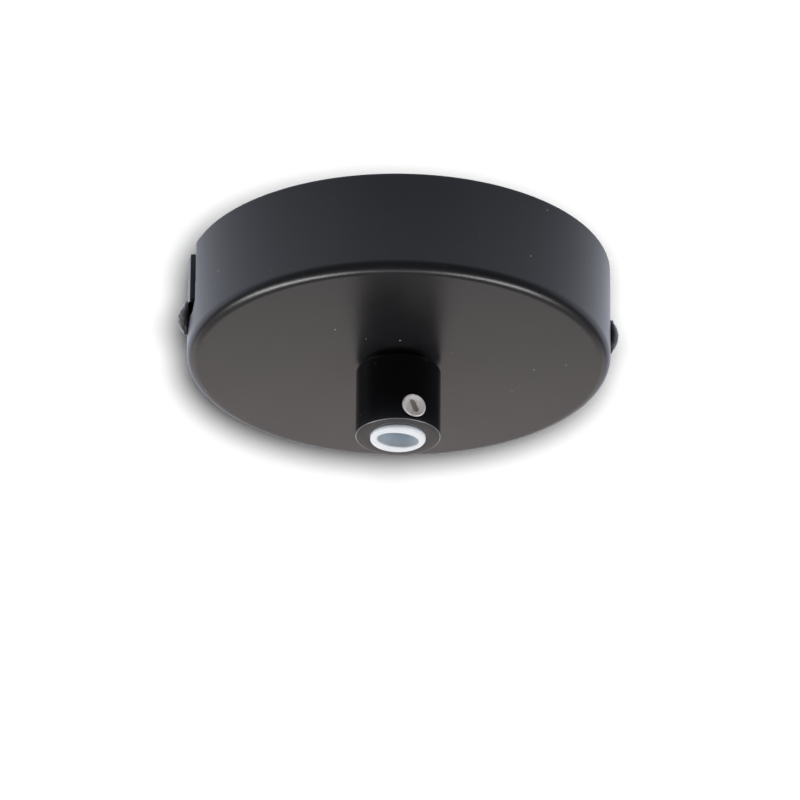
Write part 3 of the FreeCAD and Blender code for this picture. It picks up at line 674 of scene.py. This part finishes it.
def makeCup():
    low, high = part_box("canopy_cup")
    radius, bottom, rim = high.x, low.z, high.z
    wall, edge, r = cup["wall"], cup["edge"], cup["rimRound"]
    hole, h, hold = cup["holeRadius"], cup["holeRound"], cup["hold"]
    profile = quarterRound((radius - r, rim - r), r, 90, 0, 4)
    profile += [(radius, rim - r - hold), (radius, bottom + edge + hold)]
    profile += quarterRound((radius - edge, bottom + edge), edge, 0, -90, 16)
    profile += [(radius - edge - hold, bottom), (hole + h + hold, bottom)]
    profile += quarterRound((hole + h, bottom + h), h, 270, 180, 3)
    profile += quarterRound((hole + h, bottom + wall - h), h, 180, 90, 3)
    inside = edge - wall
    profile += quarterRound((radius - wall - inside, bottom + wall + inside), inside, -90, 0, 10)
    profile += quarterRound((radius - wall + r, rim - r), r, 180, 90, 4)
    piece = newPiece("canopyCup", turnedMesh("canopyCup", profile, cup["steps"]), cupPaint)
    # x is along the slot, y is height, and the prism's depth becomes X
    stand = Matrix(((0, 0, 1, 0), (1, 0, 0, 0), (0, 1, 0, 0), (0, 0, 0, 1)))
    outline = slotOutline(radius, middleOf("side_screw_right").z)
    slot = prismMesh("slotRight", outline, radius - cup["cutInside"], radius + cup["cutOutside"])
    right = placed(slot, stand)
    left = placed(right.copy(), Matrix.Rotation(math.pi, 4, "Z"))
    for mesh in (right, left):
        tidyMesh(mesh)
    cutWith(piece, joined("slots", [right, left]))

    def isSlotEdge(e):
        middle = (e.verts[0].co + e.verts[1].co) / 2
        near, far = cup["slotAlong"]
        inWall = bottom + edge * 1.5 < middle.z < rim - 2 * r
        return (inWall and abs(middle.x) > radius * cup["slotOut"]
                and near < middle.y * math.copysign(1, middle.x) < far)

    breakEdges(piece, isSlotEdge, cup["edgeBreak"])
    register(piece, "cup", "cup_paint", "canopy_cup")


makeCup()
print("cup made")


# Cord grip: collar, oval nylon insert and clamp screw, all turned to the clamp screw's side
clampPlace = Matrix.Rotation(clampTurn, 4, "Z")
alongX = Matrix.Rotation(math.pi / 2, 4, "Y")
clampHeight = middleOf("cord_clamp_screw").z


def clampCylinder(name, radius, start, end):
    disc = [(radius * math.cos(fullTurn * i / 64), radius * math.sin(fullTurn * i / 64))
            for i in range(64)]
    mesh = prismMesh(name, disc, start, end)
    placed(mesh, clampPlace @ Matrix.Translation((0, 0, clampHeight)) @ alongX)
    return tidyMesh(mesh)


collar = {
    "webBore": 5.05 * mm, "bore": 6.55 * mm, "web": 4.0 * mm, "edge": 0.34 * mm,
    "neck": 5.8 * mm, "neckHeight": 1.5 * mm, "steps": 144,
    "clampHole": 2.95 * mm, "holeCut": (3 * mm, 13 * mm), "holeBreak": 0.12 * mm,
    "holeOut": 8.9 * mm, "holeReach": 3.2 * mm,
}


def makeCollar():
    s = collar
    low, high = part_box("cord_grip_collar")
    radius = frame["nodes"]["cord_grip_collar"].dimensions.y / 2
    e, web = s["edge"], high.z - s["web"]
    shoulder = high.z - s["neckHeight"]
    profile = [(s["neck"], high.z), (s["neck"], shoulder)]
    profile += quarterRound((radius - e, shoulder - e), e, 90, 0, 4)
    profile += quarterRound((radius - e, low.z + e), e, 0, -90, 4)
    profile += quarterRound((s["bore"] + e, low.z + e), e, 270, 180, 3)
    profile += [(s["bore"], web), (s["webBore"], web), (s["webBore"], high.z)]
    piece = newPiece("cordGripCollar", turnedMesh("cordGripCollar", profile, s["steps"]),
                     collarPaint)
    cutWith(piece, clampCylinder("clampHole", s["clampHole"], *s["holeCut"]))

    def isHoleEdge(edge):
        middle = (edge.verts[0].co + edge.verts[1].co) / 2
        return middle.xy.length > s["holeOut"] and abs(middle.z - clampHeight) < s["holeReach"]

    breakEdges(piece, isHoleEdge, s["holeBreak"])
    register(piece, "cup", "collar_paint", "cord_grip_collar")


insert = {
    "radius": 6.5 * mm, "longHalf": 5.0 * mm, "shortHalf": 3.75 * mm, "steps": 144,
    "mouthRound": 0.42 * mm, "outerRound": 0.45 * mm,
    "window": 3.0 * mm, "windowCut": (0.5 * mm, 7.5 * mm),
}


# One ring of the insert: round outside, oval inside
def insertRing(inset, height, isOuter):
    ring = []
    for i in range(insert["steps"]):
        angle = fullTurn * i / insert["steps"]
        if isOuter:
            x = y = insert["radius"] - inset
        else:
            x, y = insert["shortHalf"] + inset, insert["longHalf"] + inset
        ring.append(clampPlace @ Vector((x * math.cos(angle), y * math.sin(angle), height)))
    return ring


def makeInsert():
    low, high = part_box("cord_grip_insert")
    outer, mouth = insert["outerRound"], insert["mouthRound"]
    rings = [insertRing(0, high.z, True)]
    for inset, height in quarterRound((outer, low.z + outer), outer, 180, 270, 5):
        rings.append(insertRing(inset, height, True))
    for inset, height in quarterRound((mouth, low.z + mouth), mouth, 270, 180, 5):
        rings.append(insertRing(inset, height, False))
    rings.append(insertRing(0, high.z, False))
    count = len(rings[0])
    points = [p for ring in rings for p in ring]
    faces = []
    for k in range(len(rings)):
        after = (k + 1) % len(rings)
        for i in range(count):
            j = (i + 1) % count
            faces.append((k * count + i, k * count + j, after * count + j, after * count + i))
    mesh = tidyMesh(meshFrom("cordGripInsert", points, faces))
    piece = newPiece("cordGripInsert", mesh, insertNylon)
    cutWith(piece, clampCylinder("window", insert["window"], *insert["windowCut"]))
    register(piece, "cup", "insert_nylon", "cord_grip_insert")


clampScrew = {
    "radius": 2.9 * mm, "length": 5.9 * mm, "face": 10.1 * mm, "rim": 0.3 * mm,
    "chamfer": 0.3 * mm, "plain": 0.9 * mm, "runOut": 0.2 * mm, "steps": 72,
    "dish": 0.14 * mm, "dishRadius": 2.42 * mm, "dishStart": 0.4, "dishSlope": 0.15 * mm,
    "slotWidth": 1.5 * mm, "slotLength": 3.4 * mm, "slotDepth": 0.8 * mm, "slotOver": 1 * mm,
    "slotBreak": 0.12 * mm, "slotZone": 0.5 * mm, "slotReach": 2 * mm,
    "lean": math.radians(25), "pitch": 1.0 * mm, "thread": 0.28 * mm,
    "threadShort": 1.5 * mm, "threadStart": 0.35 * mm,
}


def roundSlot(length, width, steps=12):
    reach, r = (length - width) / 2, width / 2
    points = []
    for side in (1, -1):
        for i in range(steps + 1):
            angle = math.pi * i / steps
            x, y = r * math.cos(angle), reach + r * math.sin(angle)
            points.append((side * x, side * y))
    return points


def makeClampScrew():
    s = clampScrew
    top, root, chamfer = s["face"], s["radius"] - s["thread"], s["chamfer"]
    tip, plain, floor = top - s["length"], top - s["plain"], top - s["dish"]
    profile = [(0.0, tip), (root - chamfer, tip), (root, tip + chamfer), (root, plain),
               (s["radius"], plain + s["runOut"])]
    profile += quarterRound((s["radius"] - s["rim"], top - s["rim"]), s["rim"], 0, 90, 5)
    profile += [(s["dishRadius"], top - s["dish"] * s["dishStart"]),
                (s["dishRadius"] - s["dishSlope"], floor), (0.0, floor)]
    piece = newPiece("cordClampScrew", turnedMesh("cordClampScrew", profile, s["steps"]),
                     clampNylon)
    slot = prismMesh("driverSlot", roundSlot(s["slotLength"], s["slotWidth"]),
                     top - s["slotDepth"], top + s["slotOver"])
    # after alongX the mesh's x points down and its y stays: the slot leans from the upright
    placed(slot, Matrix.Rotation(math.pi / 2 + s["lean"], 4, "Z"))
    cutWith(piece, tidyMesh(slot))

    def isSlotEdge(e):
        return (min(v.co.z for v in e.verts) > top - s["slotZone"]
                and max(v.co.xy.length for v in e.verts) < s["slotReach"])

    breakEdges(piece, isSlotEdge, s["slotBreak"])
    grow(piece, windThread, Crest_Radius=s["radius"], Depth=s["thread"], Pitch=s["pitch"],
         Length=s["length"] - s["threadShort"], Base=tip + s["threadStart"], Material=clampNylon)
    placed(piece.data, clampPlace @ Matrix.Translation((0, 0, clampHeight)) @ alongX)
    register(piece, "clamp_screw", "clamp_nylon", "cord_clamp_screw")


makeCollar()
makeInsert()
makeClampScrew()
print("cord grip made")


# Side screws: domed pan head with a cross recess, and a plain washer under it
sideScrew = {
    "thread": 2.0 * mm, "depth": 0.22 * mm, "pitch": 0.7 * mm, "length": 8.0 * mm,
    "chamfer": 0.3 * mm, "threadShort": 0.8 * mm, "threadStart": 0.3 * mm,
    "head": 3.5 * mm, "height": 1.5 * mm, "side": 0.17 * mm, "rim": 0.12 * mm,
    "domeSteps": 16, "steps": 72, "smoothBelow": 30,
    "crossWidth": 0.85 * mm, "crossSpan": 4.1 * mm, "crossDepth": 1.0 * mm,
    "crossOver": 0.6 * mm, "taper": 0.55,
    "washer": 4.0 * mm, "washerBore": 2.1 * mm, "washerThick": 0.65 * mm,
    "washerEdge": 0.14 * mm,
}


# A tapered cross, as a driver's tip leaves it
def crossMesh(top):
    s = sideScrew
    w, a = s["crossWidth"] / 2, s["crossSpan"] / 2
    outline = [(w, -a), (w, -w), (a, -w), (a, w), (w, w), (w, a),
               (-w, a), (-w, w), (-a, w), (-a, -w), (-w, -w), (-w, -a)]
    mesh = prismMesh("cross", outline, top - s["crossDepth"], top + s["crossOver"])
    for vertex in mesh.vertices:
        if vertex.co.z < top:
            vertex.co.x *= s["taper"]
            vertex.co.y *= s["taper"]
    return tidyMesh(mesh)


def makeSideScrew(side, name):
    s = sideScrew
    low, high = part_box(f"side_screw_{side}")
    isRight = side == "right"
    top = high.x if isRight else -low.x
    seat = top - s["height"]
    tip = seat - s["length"]
    root, chamfer = s["thread"] - s["depth"], s["chamfer"]
    rise, rim = s["height"] - s["side"], s["rim"]
    ball = (rise ** 2 + s["head"] ** 2) / (2 * rise)
    lean = math.asin(s["head"] / ball)
    profile = [(0.0, tip), (root - chamfer, tip), (root, tip + chamfer), (root, seat)]
    profile += quarterRound((s["head"] - rim / 2, seat + rim / 2), rim / 2, -90, 0, 3)
    for i in range(s["domeSteps"] + 1):
        angle = lean * (1 - i / s["domeSteps"])
        profile.append((ball * math.sin(angle), top - ball + ball * math.cos(angle)))
    piece = newPiece(name, turnedMesh(name, profile, s["steps"]), blackNickel)
    cutWith(piece, crossMesh(top), s["smoothBelow"])
    grow(piece, windThread, Crest_Radius=s["thread"], Depth=s["depth"], Pitch=s["pitch"],
         Length=s["length"] - s["threadShort"], Base=tip + s["threadStart"],
         Material=blackNickel)
    turn = Matrix.Rotation(0 if isRight else math.pi, 4, "Z")
    place = turn @ Matrix.Translation((0, 0, (low.z + high.z) / 2)) @ alongX
    placed(piece.data, place)
    register(piece, side + "_screw", "black_nickel", f"side_screw_{side}")

    e, under = s["washerEdge"], seat - s["washerThick"]
    bore, outer = s["washerBore"] + e, s["washer"] - e
    rings = quarterRound((bore, under + e), e, 180, 270, 2)
    rings += quarterRound((outer, under + e), e, -90, 0, 3)
    rings += quarterRound((outer, seat - e), e, 0, 90, 3)
    rings += quarterRound((bore, seat - e), e, 90, 180, 2)
    washerName = name.replace("Screw", "Washer")
    mesh = placed(turnedMesh(washerName, rings, s["steps"]), place)
    washer = newPiece(washerName, mesh, blackOxide)
    register(washer, side + "_screw", "black_washer", f"side_washer_{side}")


makeSideScrew("right", "sideScrewRight")
makeSideScrew("left", "sideScrewLeft")
print("side screws made")


# Nipple, toothed washer and lock nut inside the cup
nipple = {
    "bore": 3.8 * mm, "boreBreak": 0.2 * mm, "crest": 5.0 * mm, "thread": 0.3 * mm,
    "pitch": 1.0 * mm, "chamfer": 0.5 * mm, "steps": 96,
}


def makeNipple():
    s = nipple
    low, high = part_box("threaded_nipple")
    root, c, b = s["crest"] - s["thread"], s["chamfer"], s["boreBreak"]
    profile = [(s["bore"] + b, low.z), (root - c / 2, low.z), (root, low.z + c),
               (root, high.z - c), (root - c / 2, high.z), (s["bore"] + b, high.z),
               (s["bore"], high.z - b), (s["bore"], low.z + b)]
    piece = newPiece("threadedNipple", turnedMesh("threadedNipple", profile, s["steps"]),
                     zincTurned)
    grow(piece, windThread, Crest_Radius=s["crest"], Depth=s["thread"], Pitch=s["pitch"],
         Length=high.z - low.z - 2 * c, Base=low.z + c, Material=zincTurned)
    register(piece, "cup", "zinc_turned", "threaded_nipple")


toothedWasher = {
    "bore": 5.15 * mm, "ring": 6.15 * mm, "edge": 0.08 * mm, "tooth": 1.75 * mm,
    "width": 2.4 * mm, "root": 0.25 * mm, "narrow": 0.72, "thin": 0.8, "sunk": 0.1 * mm,
    "count": 12, "twist": math.radians(11), "steps": 96,
}


def makeToothedWasher():
    s = toothedWasher
    low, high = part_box("nipple_tooth_washer")
    w, t, end = s["width"] / 2, (high.z - low.z) / 2 * s["thin"], s["narrow"]
    tooth = [(-s["root"], -w), (s["tooth"], -w * end), (s["tooth"], w * end), (-s["root"], w)]
    piece = newPiece("nippleToothWasher", prismMesh("tooth", tooth, -t, t), zincTurned)
    grow(piece, ringOfTeeth, Count=s["count"], Radius=s["ring"] - s["sunk"], Twist=s["twist"],
         Material=zincTurned)
    placed(piece.data, Matrix.Translation((0, 0, (low.z + high.z) / 2)))
    e = s["edge"]
    profile = [(s["bore"], low.z + e), (s["bore"] + e, low.z), (s["ring"] - e, low.z),
               (s["ring"], low.z + e), (s["ring"], high.z - e), (s["ring"] - e, high.z),
               (s["bore"] + e, high.z), (s["bore"], high.z - e)]
    ring = turnedMesh("washerRing", profile, s["steps"])
    whole = joined("nippleToothWasher", [piece.data, ring])
    whole.materials.append(zincTurned)
    smooth(whole, meshing["grownSmooth"])
    piece.data = whole
    register(piece, "cup", "zinc_turned", "nipple_tooth_washer")


lockNut = {"edge": 0.25 * mm}

makeNipple()
makeToothedWasher()
refined("nipple_lock_nut", "nippleLockNut", "cup", "zinc_turned", zincTurned, lockNut["edge"])
print("nipple, washer and nut made")


# Bracket, earth terminal and terminal block follow the CAD: name, slot, finish, edge break
bracketPieces = {
    "mounting_bracket": ("mountingBracket", "zinc_sheet", zincSheet, 0.14 * mm),
    "terminal_block_body": ("terminalBlockBody", "block_plastic", blockPlastic, 0.14 * mm),
    "earth_screw": ("earthScrew", "brass", plainBrass, 0.12 * mm),
    "earth_cup_washer": ("earthCupWasher", "brass", plainBrass, 0.1 * mm),
    "terminal_fixing_screw": ("terminalFixingScrew", "terminal_steel", smallSteel, 0.08 * mm),
}
for index in (1, 2, 3):
    sleeve = (f"terminalSleeve{index}", "brass", plainBrass, 0.08 * mm)
    bracketPieces[f"terminal_sleeve_{index}"] = sleeve

# Pole screws: slotted cheese heads, six of them in two rows
poleScrew = {
    "thread": 1.3 * mm, "head": 1.7 * mm, "headHeight": 1.6 * mm, "shoulder": 0.05 * mm,
    "edge": 0.18 * mm, "chamfer": 0.2 * mm, "slotWidth": 0.6 * mm, "slotDepth": 0.7 * mm,
    "slotOver": 1 * mm, "steps": 40, "columns": 3, "rows": 2, "seed": 7,
}


def makePoleScrews():
    s = poleScrew
    low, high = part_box("terminal_screw_1")
    first, far = middleOf("terminal_screw_1"), middleOf("terminal_screw_6")
    height, under, e, c = high.z - low.z, s["headHeight"], s["edge"], s["chamfer"]
    profile = [(0.0, 0.0)] + quarterRound((s["head"] - e, e), e, -90, 0, 3)
    profile += [(s["head"], under - s["shoulder"]), (s["head"] - s["shoulder"], under),
                (s["thread"], under), (s["thread"], height - c),
                (s["thread"] - c, height), (0.0, height)]
    piece = newPiece("terminalScrews", turnedMesh("terminalScrews", profile, s["steps"]),
                     smallSteel)
    w, reach = s["slotWidth"] / 2, s["head"] + s["slotOver"]
    bar = prismMesh("bar", [(-reach, -w), (reach, -w), (reach, w), (-reach, w)],
                    -s["slotOver"], s["slotDepth"])
    cutWith(piece, tidyMesh(bar))
    centre = (first + far) / 2
    centre.z = low.z
    grow(piece, gridOfScrews, Columns=s["columns"], Rows=s["rows"],
         Pitch=(far.x - first.x) / (s["columns"] - 1), Row_Gap=far.y - first.y, Centre=centre,
         Seed=s["seed"], Material=smallSteel)
    register(piece, "bracket", "terminal_steel", *[f"terminal_screw_{i}" for i in range(1, 7)])


for node, (name, slot, material, width) in bracketPieces.items():
    refined(node, name, "bracket", slot, material, width)
makePoleScrews()
print("bracket and terminal block made")


# Camera below and in front, as the photograph was taken: its fit to the photo's outline
camera = {
    "distance": 1.6, "focalPixels": 6786.8, "elevation": math.radians(-26.44),
    "azimuth": math.radians(-4.5), "roll": math.radians(0.488), "picture": 800,
    "faceAt": (398.54, 366.65), "sensor": 36.0, "clip": (0.01, 60),
}


# Way from the rose's origin to a place at an azimuth (from the front, to the right) and elevation
def wayTo(azimuth, elevation):
    return Vector((math.sin(azimuth) * math.cos(elevation),
                   -math.cos(azimuth) * math.cos(elevation), math.sin(elevation)))


# Where the camera stands, turned so that the middle of the cup's face falls on its pixel
def cameraPlace():
    c = camera
    low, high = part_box("canopy_cup")
    face = Vector((0, 0, low.z))
    back = wayTo(c["azimuth"], c["elevation"])
    right = Vector((math.cos(c["azimuth"]), math.sin(c["azimuth"]), 0))
    up = right.cross(-back)
    tilted = math.cos(c["roll"]) * right + math.sin(c["roll"]) * up
    upright = -math.sin(c["roll"]) * right + math.cos(c["roll"]) * up
    middle = c["picture"] / 2
    across = (middle - c["faceAt"][0]) / c["focalPixels"]
    down = (middle - c["faceAt"][1]) / c["focalPixels"]
    looking = (-back + tilted * across - upright * down).normalized()
    sideways = looking.cross(upright).normalized()
    upwards = sideways.cross(looking)
    place = Matrix((sideways, upwards, -looking)).transposed().to_4x4()
    place.translation = face + back * c["distance"]
    return place


def makeCamera(place):
    data = bpy.data.cameras.new("view")
    data.sensor_width = camera["sensor"]
    data.lens = camera["focalPixels"] * camera["sensor"] / camera["picture"]
    data.clip_start, data.clip_end = camera["clip"]
    lens = bpy.data.objects.new("view", data)
    bpy.context.scene.collection.objects.link(lens)
    lens.matrix_world = place
    bpy.context.scene.camera = lens


def sheetMesh(name, size, place):
    h = size / 2
    corners = [place @ Vector(p) for p in ((-h, -h, 0), (h, -h, 0), (h, h, 0), (-h, h, 0))]
    return meshFrom(name, corners, [(0, 1, 2, 3)])


# Floor far below: pale in itself, in reflections dark before the rose and warm behind it
floorSheet = {
    "height": -1.6, "size": 18.0, "seen": colour(0.86, 0.82, 0.74),
    "near": colour(0.02, 0.018, 0.017), "far": colour(0.295, 0.262, 0.229),
    "farRange": (-0.6, 4.4), "asideRange": (1.2, 3.2), "asideDip": 0.85,
    "roughness": 0.9, "grainScale": 180, "grainShare": 0.08, "depth": 0.0002,
}


def makeFloor():
    s = floorSheet
    r = finish("floorPaper", Roughness=s["roughness"])
    place = r.where()
    grain = r.noise(place, s["grainScale"], 3.0, 0.6)
    mirrored = r.add("ShaderNodeLightPath", output="Is Glossy Ray")
    x, y = r.split(place)[:2]
    aside = abs(x).sharpened(*s["asideRange"])
    bright = y.sharpened(*s["farRange"]) * (1 - aside * s["asideDip"])
    graded = r.mixed(bright, s["near"], s["far"])
    base = r.mixed(mirrored, s["seen"], graded)
    base = r.mixed(grain * s["grainShare"], base, colour(1, 1, 1))
    sheet = sheetMesh("floor", s["size"], Matrix.Translation((0, 0, s["height"])))
    floor = newPiece("floor", sheet,
                     feed(r, Base_Color=base, Normal=r.bump(grain, s["depth"])))
    floor.visible_shadow = False


# Backdrop behind the rose, square to the camera and seen from its side only: it takes the shadow
backdropSheet = {
    "away": 0.6, "size": 0.9, "dark": colour(0.02, 0.02, 0.02),
    "light": colour(0.023, 0.023, 0.023), "grainScale": 300, "grainShare": 0.1,
}


def makeBackdrop(view):
    s = backdropSheet
    r = finish("backdropPaper", Roughness=1.0)
    grain = r.noise(r.where(), s["grainScale"], 1.0, 0.5)
    feed(r, Base_Color=r.mixed(grain * s["grainShare"], s["dark"], s["light"]))
    behind = r.add("ShaderNodeNewGeometry", output="Backfacing")
    clear = r.add("ShaderNodeBsdfTransparent")
    shown = r.add("ShaderNodeMixShader", {}, {0: behind, 1: Link(r, r.surface.outputs[0]),
                                              2: clear})
    output = next(n for n in r.tree.nodes if n.type == "OUTPUT_MATERIAL")
    r.tree.links.new(shown.socket, output.inputs[0])
    place = view @ Matrix.Translation((0, 0, -camera["distance"] - s["away"]))
    backdrop = newPiece("backdrop", sheetMesh("backdrop", s["size"], place), r.material)
    backdrop.visible_diffuse = backdrop.visible_glossy = False
    backdrop.visible_transmission = backdrop.visible_shadow = False
    return backdrop


# Tent: brighter overhead and behind, darker level with the eye, round the camera and at right
tent = {
    "tint": colour(0.89, 0.93, 1.07), "level": 0.75, "backLift": 0.3,
    "zenith": 0.75, "zenithRange": (0.5, 0.85), "frontDip": 0.72, "frontRange": (-0.2, 0.3),
    "eyeHeight": -0.15, "eyeRange": (0.2, 0.5), "cameraDip": 0.28, "cameraRange": (0.66, 0.95),
    "rightDip": 0.16, "rightRange": (0.2, 1.0),
}


def makeWorld():
    s = tent
    world = bpy.data.worlds.new("studio")
    bpy.context.scene.world = world
    world.use_nodes = True
    r = Recipe(world.node_tree)
    x, y, z = r.split(r.add("ShaderNodeTexCoord", output="Generated"))
    front = (0 - y).sharpened(*s["frontRange"])
    level = 1 - abs(z - s["eyeHeight"]).sharpened(*s["eyeRange"])
    above = z.sharpened(*s["zenithRange"])
    aroundCamera = (0 - y).sharpened(*s["cameraRange"])
    strength = above * s["zenith"] + s["level"] * (y * s["backLift"] + 1)
    strength = strength * (1 - front * level * s["frontDip"])
    strength = strength * (1 - aroundCamera * s["cameraDip"])
    strength = strength * (1 - x.sharpened(*s["rightRange"]) * s["rightDip"])
    soft = r.add("ShaderNodeBackground", {}, {"Color": s["tint"], "Strength": strength})
    white = r.add("ShaderNodeBackground", {}, {"Color": colour(1, 1, 1), "Strength": 1.0})
    seen = r.add("ShaderNodeLightPath", output="Is Camera Ray")
    both = r.add("ShaderNodeMixShader", {}, {0: seen, 1: soft, 2: white})
    r.add("ShaderNodeOutputWorld", {}, {"Surface": both})


def newLamp(name, light):
    lamp = bpy.data.objects.new(name, light)
    bpy.context.scene.collection.objects.link(lamp)
    lamp.visible_camera = False
    return lamp


# Softboxes aimed at the rose: a strip low at each side, one below, a warm card behind
neutral = (1.0, 1.0, 1.0)
softboxes = {
    "stripRight": {"azimuth": 97, "elevation": -63, "away": 1.3, "size": (0.3, 0.65),
                   "power": 8.0, "tint": neutral},
    "stripLeft": {"azimuth": -107, "elevation": -59, "away": 1.3, "size": (0.3, 0.80),
                  "power": 11.4, "tint": neutral},
    "middleStrip": {"azimuth": 180, "elevation": -85, "away": 1.3, "size": (0.5, 0.25),
                    "power": 0.6, "tint": neutral},
    "card": {"azimuth": 180, "elevation": -24, "away": 0.35, "size": (0.6, 0.08),
             "power": 0.18, "tint": (1.0, 0.88, 0.82)},
}


def makeSoftbox(name, s):
    light = bpy.data.lights.new(name, "AREA")
    light.shape = "RECTANGLE"
    light.size, light.size_y = s["size"]
    light.energy, light.color = s["power"], s["tint"]
    lamp = newLamp(name, light)
    way = wayTo(math.radians(s["azimuth"]), math.radians(s["elevation"]))
    lamp.location = way * s["away"]
    lamp.rotation_euler = way.to_track_quat("Z", "Y").to_euler()


# A small round lamp beside the camera throws the halo on the backdrop and lights nothing else
shadowLamp = {"away": 1.546, "right": 0.0065, "up": 0.0087, "size": 0.033, "power": 2260.0}


def makeShadowLamp(view, backdrop):
    s = shadowLamp
    light = bpy.data.lights.new("shadowLamp", "AREA")
    light.shape, light.size, light.energy = "DISK", s["size"], s["power"]
    lamp = newLamp("shadowLamp", light)
    lamp.visible_glossy = False
    nearer = camera["distance"] - s["away"]
    lamp.matrix_world = view @ Matrix.Translation((s["right"], s["up"], -nearer))
    lit = bpy.data.collections.new("litByShadowLamp")
    lit.objects.link(backdrop)
    lamp.light_linking.receiver_collection = lit


makeFloor()
makeWorld()
for name, s in softboxes.items():
    makeSoftbox(name, s)
view = cameraPlace()
makeShadowLamp(view, makeBackdrop(view))
makeCamera(view)
bpy.context.scene.view_settings.view_transform = "Standard"
print("studio made")
